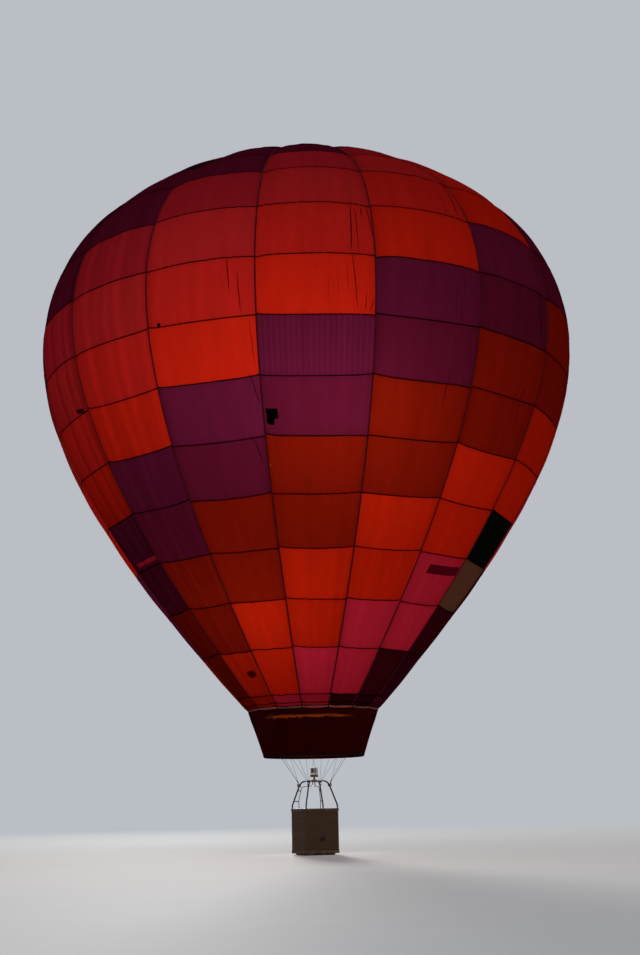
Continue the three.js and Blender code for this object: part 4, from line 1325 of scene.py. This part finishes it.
# distance from the start and radius of an upright's foot socket and of its end fitting
foot_socket = ((0.0005, 0.030), (0.004, 0.030), (0.0045, 0.0185), (0.030, 0.0185))
end_fitting = ((frame_radius + frame_tube, 0.0195), (0.236, 0.0195), (0.237, 0.0150), (0.262, 0.0150))
end_fitting += ((0.263, 0.0185), (0.278, 0.0185))
lug_middle, lug_half = (lug_inner + lug_outer) / 2, (lug_outer - lug_inner) / 2
lug_height, lug_half_height = (lug_top + lug_bottom) / 2, (lug_top - lug_bottom) / 2
link_foot = link_height - 0.008 - link_half_height + link_bar
lug_hole_circle = circle(lug_hole, 24, link_place - lug_middle, link_foot - lug_hole - lug_height)
lug_outline = rounded(-lug_half, lug_half, -lug_half_height, lug_half_height, 0.016)
lug = plate(lug_outline, [lug_hole_circle], -lug_thickness / 2, lug_thickness / 2)
for name, eighth in corners:
    corner = eighth * math.pi / 4
    radial, beside = polar(1.0, 0.0, corner), polar(1.0, 0.0, corner + math.pi / 2)
    centre = bent_path([
        polar(upright_foot, rim_top + 0.0003, corner),
        polar(upright_foot, rim_top + 0.090, corner),
        polar(upright_bend, pivot_height, corner),
        polar(frame_radius + frame_tube, pivot_height, corner),
    ], [0.050, 0.150], 0.010)
    outside = np.hypot(centre[:, 0], centre[:, 1]) > sleeve_end
    padded_run = centre[outside & (centre[:, 2] > rim_top + 0.025)]
    quilted = 0.0176 + 0.0024 * np.abs(np.sin(math.pi * np.arange(len(padded_run)) * 0.010 / 0.085)) ** 0.45
    quilted[:2], quilted[-2:] = 0.0195, 0.0185
    inner_run = padded_run[2:-2]
    inwards = np.cross(-beside, directions(inner_run))
    flap = band(inner_run, -beside, inwards, 0.016, 0.003, lift=0.0165)
    sleeve = joined([tube(padded_run, quilted, 18), flap])
    make_piece(f"upright_sleeve_{name}", sleeve, sleeve_leather, "padding", f"upright_{name}", sharp_over=45)
    zip_line = lines_mesh("zip_line", [inner_run + inwards * 0.0196])
    grow_piece(f"sleeve_zip_{name}", zip_line, stitches, zip_coil, steel, "steel")

    socket = stepped(polar(upright_foot, rim_top, corner), (0, 0, 1), foot_socket, 24)
    end = stepped((0, 0, pivot_height), radial, end_fitting, 24)
    stand = Matrix(((radial[0], 0, -beside[0]), (radial[1], 0, -beside[1]), (0, 1, 0))).to_4x4()
    standing_lug = moved(lug, shifted(polar(lug_middle, lug_height, corner)), stand)
    fittings = bevelled(joined([socket, end, standing_lug]), 40, 0.0012)
    make_piece(f"upright_fittings_{name}", fittings, frame_steel, "steel")


# Burner ring and gimbal
# The steel ring on the uprights carries the gimbal ring on two pins, and that carries the burner on two
# trunnions at right angles, so that the pilot can tilt the flame both ways.
gimbal_radius, gimbal_tube = 0.165, 0.011
pin_radius, pin_hole = 0.006, 0.0069
pin_stations = ((0.168, pin_radius), (0.220, pin_radius), (0.222, pin_radius - 0.0015))
collar_stations = ((0.172, 0.0105), (0.174, 0.0115), (0.184, 0.0115), (0.186, 0.0105))
pivot = shifted((0, 0, pivot_height))


def bush(turn, outer, middle, half_length):
    """A plain bush for a pin, at a distance from the pivot along a turned Z axis."""
    section = rounded(pin_hole, outer, middle - half_length, middle + half_length, 0.0012, 2)
    return moved(lathe(section, 24), turn)


def torus(radius, thickness, slices=96, sides=18):
    return lathe(circle(thickness, sides, radius), slices)


frame_parts, gimbal_parts = [torus(frame_radius, frame_tube)], [torus(gimbal_radius, gimbal_tube)]
for side in (-1, 1):
    frame_parts.append(bush(turned(90, "Y"), 0.0165, side * frame_radius, 0.019))
    gimbal_parts.append(stepped((0, 0, 0), (side, 0, 0), pin_stations, 20))
    gimbal_parts.append(stepped((0, 0, 0), (side, 0, 0), collar_stations, 20))
    gimbal_parts.append(bush(turned(-90, "X"), 0.0135, side * gimbal_radius, 0.015))

frame_ring, gimbal_ring = moved(joined(frame_parts), pivot), moved(joined(gimbal_parts), pivot)
make_piece("burner_frame_ring", frame_ring, frame_steel, "steel", "burner_ring", sharp_over=40)
make_piece("gimbal_ring_alloy", gimbal_ring, alloy, "alloy", "gimbal_ring", body="gimbal", sharp_over=40)


# Burner
# A machined brass block on trunnions, with the fuel inlets below it and a stem to the stainless can above.
# The liquid fuel runs through the coil over the flame, where it turns to gas, and out of the jet ring.
block_x, block_y, block_z = 0.120, 0.096, 0.070
stem_radius = 0.030
shroud_radius, coil_radius, coil_tube = 0.104, 0.097, 0.0075
shroud_bottom, shroud_top = ground + 2.062, ground + 2.132
coil_bottom, coil_top, coil_turns = ground + 2.160, ground + 2.303, 5
inlet_x, inlet_y, inlet_drop = 0.038, 0.034, 0.055
trunnion_end, nut_corner, bolt_corner, bolt_height = 0.1705, 0.0135, 0.0065, 0.0055
bolt_x, bolt_y = 0.048, 0.034
flange_stations = ((0.046, 0.020), (0.056, 0.020), (0.058, 0.0110), (0.100, 0.0095), (0.102, 0.0070))
inlet_stations = ((0.030, 0.009), (0.050, 0.009), (0.0505, 0.0075), (inlet_drop, 0.0075))
stem_stations = ((0.034, 0.036), (0.037, 0.038), (0.042, 0.038), (0.0425, stem_radius - 0.004))
stem_stations += ((0.090, stem_radius - 0.004), (0.0905, stem_radius), (0.1065, stem_radius))

block_outline = rounded(-block_x / 2, block_x / 2, -block_y / 2, block_y / 2, 0.008)
burner_parts = [plate(block_outline, [], -block_z / 2, block_z / 2)]
for side in (-1, 1):
    inlet_place = (side * inlet_x, inlet_y, 0)
    burner_parts.append(tube([(0, side * 0.046, 0), (0, side * trunnion_end, 0)], pin_radius, 20))
    burner_parts.append(stepped((0, 0, 0), (0, side, 0), flange_stations, 24))
    burner_parts.append(stepped(inlet_place, (0, 0, -1), inlet_stations, 20))
    burner_parts.append(plate(circle(nut_corner, 6, *inlet_place[:2]), [], -0.047, -0.0352))
    for y in (-bolt_y, bolt_y):
        bolt = circle(bolt_corner, 6, side * bolt_x, y)
        burner_parts.append(plate(bolt, [], block_z / 2, block_z / 2 + bolt_height))

burner_parts.append(stepped((0, 0, 0), (0, 0, 1), stem_stations, 32))
brass = metal_material("burner_brass", (0.38, 0.24, 0.080), 0.34, 0.25)
block = bevelled(moved(joined(burner_parts), pivot), 40, 0.0012)
make_piece("burner_brass_block", block, brass, "brass", "burner_block", body="burner")


def holed_wall(radius, thickness, low, high, count, hole_x, hole_z, rings=4, spokes=32):
    """A round wall with oval holes all round it, as sheet of a thickness."""
    turn = turns(spokes)
    cosine, sine = np.cos(turn), np.sin(turn)
    half_x, half_z = math.pi / count, (high - low) / 2
    reach = 1 / np.maximum(abs(cosine), abs(sine))
    on_edge = abs(sine) > abs(cosine) - 1e-6
    share = (np.arange(rings) / (rings - 1))[:, None] ** 1.4
    angle = hole_x / radius * cosine * (1 - share) + half_x * cosine * reach * share
    height = hole_z * sine * (1 - share) + half_z * sine * reach * share + (low + high) / 2
    layer = rings * spokes
    one_skin = grid_faces(rings, spokes)
    points, faces = [], []
    for k in range(count):
        for wall in (radius, radius - thickness):
            points.append(polar(wall, height, angle + k * 2 * math.pi / count).reshape(-1, 3))
        start = 2 * k * layer
        faces += [[start + i for i in face[::-1]] for face in one_skin]
        faces += [[start + layer + i for i in face] for face in one_skin]
        outer = start + layer - spokes
        for i in range(spokes):
            after = (i + 1) % spokes
            faces.append([start + i, start + after, start + layer + after, start + layer + i])
            if on_edge[i] and on_edge[after]:
                faces.append([outer + i, outer + layer + i, outer + layer + after, outer + after])
    points = np.round(np.concatenate(points), 7)
    points, same = np.unique(points, axis=0, return_inverse=True)
    faces = same.ravel()[np.array(faces)].tolist()
    return points, faces, np.zeros((len(points), 2))


jet_circle = 0.040
jet_stations = ((-0.006, 0.003), (0.004, 0.003), (0.0045, 0.002))
can_rim = shroud_radius + 0.0005
feed_low, jet_ring_height = shroud_bottom + 0.003, shroud_top - 0.012
can_parts = [
    holed_wall(shroud_radius, 0.0015, shroud_bottom + 0.004, shroud_top - 0.004, 12, 0.011, 0.014),
    lathe(rounded(stem_radius - 0.006, can_rim, shroud_bottom, shroud_bottom + 0.005, 0.002, 3), 72),
    lathe(rounded(0.062, can_rim, shroud_top - 0.005, shroud_top, 0.002, 3), 72),
    moved(torus(jet_circle, 0.007, 48, 12), shifted((0, 0, jet_ring_height))),
]
can_parts += [stepped(polar(jet_circle, shroud_top, a), (0, 0, 1), jet_stations, 10) for a in turns(12)]
can_parts += [tube([(x, 0, feed_low), (x, 0, jet_ring_height)], 0.004, 12) for x in (-jet_circle, jet_circle)]
burnt_steel = metal_material("burnt_steel", (0.16, 0.13, 0.11), 0.46, 0.3, (shroud_bottom, coil_top + 0.03))
can = joined(can_parts)
make_piece("burner_can", can, burnt_steel, "steel", "burner_shroud", body="burner", sharp_over=40)


def from_x(radius, height, angle):
    """Places by their distance from the axis, height, and angle from +X towards +Y."""
    return polar(radius, height, angle + math.pi / 2)


coil_turn = np.linspace(0, coil_turns * 2 * math.pi, coil_turns * 36 + 1)
helix = from_x(coil_radius, coil_bottom + (coil_top - coil_bottom) * coil_turn / coil_turn[-1], coil_turn)
inside, over = coil_radius - 3 * coil_tube, 0.12 * 2 * math.pi
foot_height = shroud_top + 0.0003
riser_corners = [from_x(coil_radius, foot_height, 0.0), from_x(coil_radius, coil_bottom, 0.0), helix[3]]
fall_corners = [helix[-1], from_x(coil_radius - 0.004, coil_top + 0.001, 0.45)]
fall_corners += [from_x(inside, coil_top - 0.002, over), from_x(inside, foot_height, over)]
riser = bent_path(riser_corners, [0.010], 0.003)[:-1]
fall = bent_path(fall_corners, [0.012, 0.012], 0.004)[1:]
coil = tube(np.concatenate([riser, helix[3:], fall]), coil_tube, 12)
make_piece("burner_coil_tube", coil, burnt_steel, "steel", "burner_coil", body="burner")

valve_y = -0.030
valve_stations = ((0.0353, 0.014), (0.048, 0.014), (0.0485, 0.0115), (0.070, 0.0115))
valve_stations += ((0.0705, 0.013), (0.0753, 0.013))
valve_body = stepped((0, valve_y, 0), (0, 0, -1), valve_stations, 24)
lever = plate(rounded(-0.009, 0.009, -0.055, 0.055, 0.0088, 6), [], -0.005, 0.005)
lever = moved(lever, shifted((0, valve_y, -0.115)), turned(90, "X"))
valve = bevelled(moved(joined([valve_body, lever]), pivot), 40, 0.0015)
make_piece("blast_valve_lever", valve, steel, "steel", "blast_valve", body="burner")

knob_profile = ((0.009, 0.0), (0.0135, 0.002), (0.0135, 0.020), (0.011, 0.0235))
knob_points, knob_faces, knob_flat = lathe(knob_profile, 48, ends="capped")
knob_points[1::2, :2] *= 0.95
knob_place = (0.036, -block_y / 2 - 0.0003, 0.012)
knob = moved((knob_points, knob_faces, knob_flat), pivot, shifted(knob_place), turned(90, "X"))
make_piece("pilot_light_knob", knob, brass, "brass", "pilot_knob", body="burner", sharp_over=30)


# Basket walls
# Willow canes woven one by one, in front of and behind upright stakes, with a leather scuff band laced
# round the foot. Two walls have a foot hole, bound in leather, for climbing in.
basket_half, basket_corner, wall_thickness = 0.510, 0.110, 0.035
wall_low, wall_high = ground + 0.0453, ground + 1.160
stakes_in_wall, cane_radius, stake_radius = 25, 0.0053, 0.0052
row_height, points_in_wave = 0.0094, 3
foot_hole_x, foot_hole_z, foot_hole_height = 0.085, 0.060, ground + 0.420


def wall_line(s, inset, turn):
    """Places and outward directions along one wall's line, from mitre to mitre, s from 0 to 1."""
    corner = basket_corner - inset
    straight = 2 * (basket_half - basket_corner)
    length = straight + corner * math.pi / 2
    run = np.asarray(s, float) * length
    arc = corner * math.pi / 4
    angle = np.clip((run - arc) / corner, -math.pi / 4, 0)
    angle = angle + np.clip((run - arc - straight) / corner, 0, math.pi / 4)
    x = np.clip(run - arc, 0, straight) - straight / 2 + corner * np.sin(angle)
    y = -(basket_half - basket_corner) - corner * np.cos(angle)
    out = np.stack([np.sin(angle), -np.cos(angle)], -1)
    spin = np.array([[math.cos(turn), math.sin(turn)], [-math.sin(turn), math.cos(turn)]])
    return np.stack([x, y], -1) @ spin, out @ spin, length


def cane_tree():
    """Round canes along bare edges, as thick as their own attribute says."""
    inputs = {"Lines": "Geometry", "Thickness": "Float", "Sides": "Int", "Finish": "Material"}
    tree, given, result = new_tree("canes_along_lines", "GeometryNodeTree", inputs, {"Canes": "Geometry"})
    line = put(tree, "GeometryNodeMeshToCurve", {0: given["Lines"]}).outputs[0]
    swell = put(tree, "GeometryNodeInputNamedAttribute", {"Name": "thickness"}, data_type="FLOAT").outputs[0]
    swollen = put(tree, "GeometryNodeSetCurveRadius", {"Curve": line, "Radius": swell}).outputs[0]
    section = {"Resolution": given["Sides"], "Radius": given["Thickness"]}
    section = put(tree, "GeometryNodeCurvePrimitiveCircle", section).outputs[0]
    cane = {"Curve": swollen, "Profile Curve": section, "Fill Caps": True}
    cane = put(tree, "GeometryNodeCurveToMesh", cane).outputs[0]
    return end_tree(tree, cane, given["Finish"], result)


def wicker_material():
    """Peeled willow, each cane with a shade of its own, blotched and dark in its fibres."""
    material, tree = start_material("willow_cane")
    place = object_place(tree)
    shade = put(tree, "ShaderNodeAttribute", attribute_name="cane_shade").outputs["Fac"]
    blotches = noise(tree, place, 28.0, 5.0)
    fibres = noise(tree, stretched(tree, place, (60.0, 60.0, 700.0)), 1.0, 3.0)
    tone = mixed(tree, shade, (0.085, 0.036, 0.012), (0.24, 0.125, 0.045))
    tone = mixed(tree, blotches, tone, (0.045, 0.020, 0.008))
    tone = mixed(tree, spread(tree, fibres, 0.45, 0.7, last=0.5), tone, (0.02, 0.010, 0.005))
    surface(tree, tone, spread(tree, blotches, first=0.42, last=0.62), bumped(tree, fibres, 0.3, 0.0005))
    return material


canes_along = cane_tree()
willow = wicker_material()
cane_inset = wall_thickness / 2
stake_foot, stake_head = wall_low + 0.002, wall_high - 0.001
foot_hole_low, foot_hole_high = foot_hole_height - foot_hole_z, foot_hole_height + foot_hole_z
rows = int((wall_high - wall_low - 0.012) / row_height)
bend_out = (stake_radius + cane_radius) / math.sin(math.pi / points_in_wave)
stake_share = (np.arange(stakes_in_wall) + 0.5) / stakes_in_wall
walls = (("front", 0, True), ("right", 1, False), ("back", 2, True), ("left", 3, False))
for wall_name, quarter, has_hole in walls:
    turn = quarter * math.pi / 2
    draw = np.random.default_rng(300 + quarter)
    woven = []
    s = np.linspace(0, 1, stakes_in_wall * points_in_wave + 1)
    line, out, wall_length = wall_line(s, cane_inset, turn)
    hole_share = (foot_hole_x + 0.006) / wall_length
    for row in range(rows):
        side = 1 if (row + quarter) % 2 else -1
        wave = side * bend_out * np.sin(math.pi * s * stakes_in_wall)
        height = wall_low + 0.008 + (row + 0.5) * row_height + draw.normal(0, 0.0005)
        height = height + 0.0006 * np.sin(2 * math.pi * (s * 1.5 + draw.uniform()))
        cane = np.column_stack([line + out * wave[:, None], height])
        thickness, shade = draw.uniform(0.94, 1.08), draw.uniform(0, 1)
        if has_hole and abs(height.mean() - foot_hole_height) < foot_hole_z + 0.004:
            lengths = [cane[s < 0.5 - hole_share], cane[s > 0.5 + hole_share]]
        else:
            lengths = [cane]
        woven += [(length, thickness, shade) for length in lengths]
    for share, place in zip(stake_share, wall_line(stake_share, cane_inset, turn)[0]):
        spans = [(stake_foot, stake_head)]
        if has_hole and abs(share - 0.5) < hole_share:
            spans = [(stake_foot, foot_hole_low), (foot_hole_high, stake_head)]
        for low, high in spans:
            stake = np.array([(*place, z) for z in np.linspace(low, high, 8)])
            woven.append((stake, stake_radius / cane_radius, draw.uniform(0, 0.6)))
    paths, thicknesses, shades = zip(*woven)
    canes = lines_mesh("canes", paths)
    counts = [len(path) for path in paths]
    for attribute, values in (("thickness", thicknesses), ("cane_shade", shades)):
        stored = canes.attributes.new(attribute, "FLOAT", "POINT")
        stored.data.foreach_set("value", np.repeat(values, counts).astype(np.float32))
    cane_sizes = {"Thickness": cane_radius, "Sides": 5}
    grow_piece(f"wicker_{wall_name}", canes, canes_along, cane_sizes, willow, "wicker", f"wall_{wall_name}")


def loop_line(inset, spacing=0.012):
    """A closed line round the basket at an inset from its outer face, with its outward directions."""
    length = wall_line([0], inset, 0)[2]
    s = np.linspace(0, 1, int(length / spacing) + 1)[:-1]
    places, outs = zip(*(wall_line(s, inset, quarter * math.pi / 2)[:2] for quarter in range(4)))
    return np.concatenate(places), np.concatenate(outs)


def loop_run(line):
    return np.cumsum(np.linalg.norm(line - np.roll(line, 1, axis=0), axis=1))


def swept_loop(line, out, section, swell=1.0):
    """A closed section of (outwards, height) points swept round a closed line."""
    section = np.asarray(section, float)
    offsets = section[:, 0] * np.broadcast_to(swell, len(line))[:, None]
    heights = np.broadcast_to(section[:, 1], offsets.shape)[..., None]
    points = np.concatenate([line[:, None] + out[:, None] * offsets[..., None], heights], -1)
    flat = np.stack(np.meshgrid(run_along(section), loop_run(line)), -1)
    return inside_out(skin(points, flat, ends="joined"))


rim_leather = leather_material("rim_leather", (0.060, 0.026, 0.012), (0.15, 0.075, 0.035), 0.55, 0.0022)
lace = leather_material("leather_lace", (0.030, 0.013, 0.007), (0.08, 0.04, 0.02), 0.6, 0.0012)
lacing = {"Spacing": 0.022, "Thickness": 0.004, "Length": 0.014}
# outwards and up of the scuff band's section
scuff_section = ((0.0, 0.001), (0.004, 0.003), (0.0045, 0.080), (0.003, 0.083), (0.0, 0.083))
scuff = swept_loop(*loop_line(-0.0005), [(out, wall_low + up) for out, up in scuff_section])
make_piece("scuff_band", scuff, rim_leather, "rim_leather", sharp_over=40)


def lace_piece(name, places):
    """Two rows of lacing round the basket, each by its inset and height."""
    lines = []
    for inset, height in places:
        line = loop_line(inset, 0.02)[0]
        lines.append(np.column_stack([line, np.full(len(line), height)]))
    grow_piece(name, lines_mesh(name, lines, closed=True), stitches, lacing, lace, "rim_leather")


lace_piece("scuff_band_lacing", [(-0.0050, wall_low + h) for h in (0.012, 0.072)])

hole_x, hole_z = foot_hole_x + 0.002, foot_hole_z + 0.002
hole_edge = rounded(-hole_x, hole_x, -hole_z, hole_z, 0.022, 8)
hole_ring = np.stack([hole_edge[:, 0], 0 * hole_edge[:, 0], hole_edge[:, 1]], -1)
hole_section = circle(1.0, 14) * (0.008, 0.0205)
hole_points = np.stack([hole_ring + unit(hole_ring) * u + np.array([0, v, 0]) for u, v in hole_section])
hole_binding = inside_out(skin(hole_points, np.zeros((*hole_points.shape[:2], 2)), ends="joined"))
for wall_name, quarter, has_hole in walls:
    if has_hole:
        hole_place = shifted((0, -basket_half + cane_inset, foot_hole_height))
        wall_binding = moved(hole_binding, spun(quarter * math.pi / 2), hole_place)
        make_piece(f"foot_hole_{wall_name}", wall_binding, rim_leather, "rim_leather")


# Basket rim
# A roll of foam round the top of the walls, under hide that is laced below it. The hide is cut in eight
# lengths, sewn end to end, and puckers at its seams and laces.
rim_low, rim_half, rim_depth = wall_high, 0.032, rim_top - wall_high
rim_line, rim_out = loop_line(cane_inset, 0.010)
rim_run = loop_run(rim_line)
rim_turn = np.linspace(-1.15, math.pi + 1.15, 22)
rim_across, rim_up = np.cos(rim_turn), np.sin(rim_turn)
rim_section = [(0.0195, rim_low - 0.028)]
rim_section += zip(
    rim_half * np.sign(rim_across) * abs(rim_across) ** 0.75,
    rim_low + rim_depth / 2 * (1 + np.sign(rim_up) * abs(rim_up) ** 0.8),
)
rim_section += [(-0.0195, rim_low - 0.028), (-0.0165, rim_low - 0.028), (-0.0160, rim_low - 0.004)]
rim_section += [(0.0160, rim_low - 0.004), (0.0165, rim_low - 0.028)]
seam_gap = rim_run[-1] / 8
rim_from_seam = seam_gap / 2 - np.abs((rim_run / seam_gap + 0.25) % 1 - 0.5) * seam_gap
puckers = 0.985 + 0.015 * np.cos(2 * math.pi * rim_run / 0.046) - 0.07 * np.exp(-rim_from_seam / 0.006)
rim_part = swept_loop(rim_line, rim_out, rim_section, puckers)
padded_rim = make_piece("padded_rim", rim_part, rim_leather, "rim_leather", "basket_rim", sharp_over=60)
lace_piece("rim_lacing", [(cane_inset - side * 0.0198, rim_low - 0.020) for side in (1, -1)])


# Floor and skids
# A birch plywood floor bolted to three hardwood runners, whose ends are turned up so that they slide
# over rough ground.
def timber_material(name, pale, dark, grain_scale, plies=0.0):
    """Oiled wood with long grain along Y, dents, dirt and, on plywood, its plies at the edges."""
    material, tree = start_material(name)
    place = object_place(tree)
    grain = noise(tree, stretched(tree, place, (grain_scale, grain_scale / 14, grain_scale)), 1.0, 6.0)
    dirt = spread(tree, noise(tree, place, 5.0, 6.0), 0.45, 0.75, last=0.7)
    tone = mixed(tree, grain, pale, dark)
    if plies:
        layer = maths(tree, "PINGPONG", sides_of(tree, place)["Z"], plies)
        tone = mixed(tree, spread(tree, layer, 0.3 * plies, 0.7 * plies, last=0.6), tone, dark)
    tone = mixed(tree, dirt, tone, (0.030, 0.022, 0.014))
    surface(tree, tone, spread(tree, dirt, first=0.5, last=0.8), bumped(tree, grain, 0.3, 0.001))
    return material


floor_node = bpy.data.objects["basket_floor"]
plywood = timber_material("birch_plywood", (0.36, 0.23, 0.11), (0.20, 0.115, 0.050), 60.0, 0.0022)
floor_node.data.materials.clear()
floor_node.data.materials.append(plywood)
ash = timber_material("ash_runner", (0.22, 0.130, 0.060), (0.10, 0.055, 0.024), 45.0)
skid_half_width, skid_half_length, skid_height, skid_turned_up = 0.035, 0.500, 0.045, 0.022
skid_side = [(skid_height, 0.0), (skid_turned_up, 0.0), (0.006, 0.035), (0.0, 0.080)]
skid_side = [(inwards - skid_half_length, z) for z, inwards in skid_side]
skid_side += [(-y, z) for y, z in skid_side[::-1]]
runner = plate(skid_side, [], -skid_half_width, skid_half_width)
lying = Matrix(((0, 0, 1), (1, 0, 0), (0, 1, 0))).to_4x4()
for name, x in (("left", -0.330), ("middle", 0.0), ("right", 0.330)):
    runner_mesh = bevelled(moved(runner, shifted((x, 0, ground)), lying), 30, 0.004, 3)
    make_piece(f"runner_{name}", runner_mesh, ash, "hardwood", f"skid_{name}")


# Fuel cylinders
# Welded stainless bottles, each with a foot ring, a guard collar with two hand holes and a lever valve,
# strapped into the basket's corners with webbing.
cylinder_radius, cylinder_corner = 0.152, 0.308
cylinder_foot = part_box("cylinder_back_right")[0].z
body_top = cylinder_foot + 0.800
collar_radius, collar_top = 0.105, body_top + 0.075
dome_turn, bottom_turn = np.linspace(0, math.pi / 2 - 0.25, 9), np.linspace(math.pi / 2 - 0.3, 0, 7)
weld = cylinder_foot + 0.420
dome_up = body_top - 0.070 + 0.069 * np.sin(dome_turn)
bottom_up = cylinder_foot + 0.060 - 0.045 * np.sin(bottom_turn)
bottle_profile = list(zip(cylinder_radius * np.cos(bottom_turn) ** 0.6, bottom_up))
bottle_profile += [(cylinder_radius, weld - 0.004), (cylinder_radius + 0.0012, weld - 0.002)]
bottle_profile += [(cylinder_radius + 0.0012, weld + 0.002), (cylinder_radius, weld + 0.004)]
bottle_profile += zip(cylinder_radius * np.cos(dome_turn) ** 0.55, dome_up)
boss_profile = [(0.030, body_top - 0.012), (0.030, body_top + 0.004), (0.024, body_top + 0.006)]
collar_rim = rounded(collar_radius - 0.005, collar_radius + 0.0015, collar_top - 0.006, collar_top, 0.0028, 4)
bottle = joined([
    lathe(rounded(0.116, 0.122, cylinder_foot, cylinder_foot + 0.035, 0.002, 3), 72),
    lathe(bottle_profile, 72, ends="capped"),
    holed_wall(collar_radius, 0.003, body_top - 0.014, collar_top - 0.003, 4, 0.036, 0.022, 5, 48),
    lathe(collar_rim, 72),
    lathe(boss_profile, 36, ends="capped"),
])
valve_profile = ((0.014, 0.004), (0.014, 0.020), (0.0175, 0.022), (0.0175, 0.048))
valve_profile += ((0.012, 0.050), (0.012, 0.060))
valve = lathe([(r, body_top + z) for r, z in valve_profile], 32, ends="capped")
handle_path = [(0, 0, body_top + 0.035), (0, 0.030, body_top + 0.037), (0, 0.070, body_top + 0.050)]
handle = tube(handle_path, [0.005, 0.005, 0.006], 12)
outlet_stations = ((0.010, 0.008), (0.024, 0.008), (0.0245, 0.011), (0.034, 0.011))
outlet = stepped((0, 0, body_top + 0.034), (1, 0, 0), outlet_stations, 18)
strap_in, strap_out, strap_width = cylinder_radius + 0.0005, cylinder_radius + 0.0030, 0.045
strap_feet = [cylinder_foot + up for up in (0.20, 0.62)]
straps = joined([lathe(square(strap_in, strap_out, foot, foot + strap_width), 72) for foot in strap_feet])
for name, x, y in (("back_right", 1, 1), ("back_left", -1, 1), ("front_left", -1, -1)):
    place = shifted((x * cylinder_corner, y * cylinder_corner, 0))
    swing = spun(math.atan2(-x, y) + math.pi)
    make_piece(f"fuel_bottle_{name}", moved(bottle, place), steel, "alloy", f"cylinder_{name}", sharp_over=40)
    valve_part = moved(joined([valve, moved(joined([handle, outlet]), swing)]), place)
    make_piece(f"bottle_valve_{name}", valve_part, brass, "brass", sharp_over=40)
    make_piece(f"bottle_straps_{name}", moved(straps, place), tape_webbing, "webbing", sharp_over=40)


# Fuel hoses
# Two braided rubber hoses from the back bottles' valves, hung from the uprights by webbing loops. Each is
# crimped to a swept steel end, and a ribbed rubber joint lets the burner tilt over it.
hose_radius, bottle_valve_top = 0.009, body_top + 0.0603
hose_turn_up, hose_joint_low = ground + 1.830, pivot_height - 0.100
joint_top, joint_middle = pivot_height - 0.0555, pivot_height - 0.080
leaning_from, leaning_to = 1.3103, 1.955


def rubber_material():
    """Black rubber with a fine braid under its skin, and dust."""
    material, tree = start_material("hose_rubber")
    place = object_place(tree)
    braid = put(tree, "ShaderNodeTexVoronoi", {"Vector": place, "Scale": 420.0}).outputs["Distance"]
    dust = noise(tree, place, 18.0, 5.0)
    tone = mixed(tree, dust, (0.010, 0.010, 0.010), (0.045, 0.042, 0.038))
    surface(tree, tone, spread(tree, dust, first=0.5, last=0.75), bumped(tree, braid, 0.4, 0.0006))
    return material


def hanger(held, pole, beside):
    """A loop of webbing round an upright's sleeve and a hose."""
    out = unit(pole - held)
    ring = []
    for centre, reach, first in ((pole, 0.0212, -90), (held, 0.0100, 90)):
        for a in np.radians(np.linspace(first, first + 180, 9)):
            ring.append(centre + reach * (out * math.cos(a) + beside * math.sin(a)))
    ring, down = np.array(ring), (0, 0, -1)
    return band(ring, down, np.cross(down, directions(ring, closed=True)), 0.022, 0.0016, closed=True)


rubber = rubber_material()
for name, side in (("right", 1), ("left", -1)):
    corner = math.pi - side * math.pi / 4
    inlet = np.array([side * inlet_x, inlet_y, 0.0])
    route = [
        polar(cylinder_corner * math.sqrt(2), bottle_valve_top, corner),
        polar(cylinder_corner * math.sqrt(2), ground + 1.120, corner),
        polar(0.470, ground + 1.400, corner),
        polar(0.372, ground + 1.800, corner),
    ]
    turn_up = inlet + (0, 0, hose_turn_up)
    last_run = unit(turn_up - route[3])
    hose_end = turn_up - last_run * 0.062
    hose_line = bent_path([*route, hose_end], [0.060, 0.060, 0.066], 0.008)
    hose_part = tube(hose_line, hose_radius, 14)
    hose = make_piece(f"fuel_hose_line_{name}", hose_part, rubber, "rubber", f"fuel_hose_{name}")

    low_end = [hose_line[0] + (hose_line[3] - hose_line[0]) * k for k in (0.0, 0.5, 1.0, 1.05)]
    low_crimp = tube(low_end, [0.0108, 0.0112, 0.0112, 0.0098], 20)
    crimp_stations = ((-0.028, 0.0098), (-0.026, 0.0112), (-0.002, 0.0112), (0.0, 0.0090))
    high_crimp = stepped(hose_end, last_run, crimp_stations, 20)
    swept = bent_path([hose_end, turn_up, inlet + (0, 0, hose_joint_low)], [0.034], 0.004)
    ends_part = joined([low_crimp, high_crimp, tube(swept, 0.0078, 16)])
    hose_ends = make_piece(f"hose_fittings_{name}", ends_part, steel, "steel", sharp_over=40)
    for part_name, low, high, bodies in (
        ("lower", hose_joint_low + 0.002, joint_middle, ("balloon", "gimbal")),
        ("upper", joint_middle, joint_top + 0.004, ("gimbal", "burner")),
    ):
        ribs = np.linspace(low, high, 25)
        rib_radius = 0.0105 + 0.0016 * np.cos((ribs - hose_joint_low) * 2 * math.pi / 0.0055)
        joint_name = f"hose_joint_{part_name}_{name}"
        joint_mesh = make_mesh(joint_name, stepped(inlet, (0, 0, 1), list(zip(ribs, rib_radius)), 24))
        joint_mesh.materials.append(rubber)
        joint = place_object(joint_name, joint_mesh)
        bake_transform(joint)

    hangers = []
    for height in (1.42, 1.70):
        held = hose_line[int(np.argmin(np.abs(hose_line[:, 2] - ground - height)))]
        along_bend = (height - leaning_from) / (leaning_to - leaning_from)
        pole = polar(upright_foot + (upright_bend - upright_foot) * along_bend, ground + height, corner)
        hangers.append(hanger(held, pole, polar(1.0, 0.0, corner + math.pi / 2)))
    make_piece(f"hose_hangers_{name}", joined(hangers), tape_webbing, "webbing", sharp_over=40)
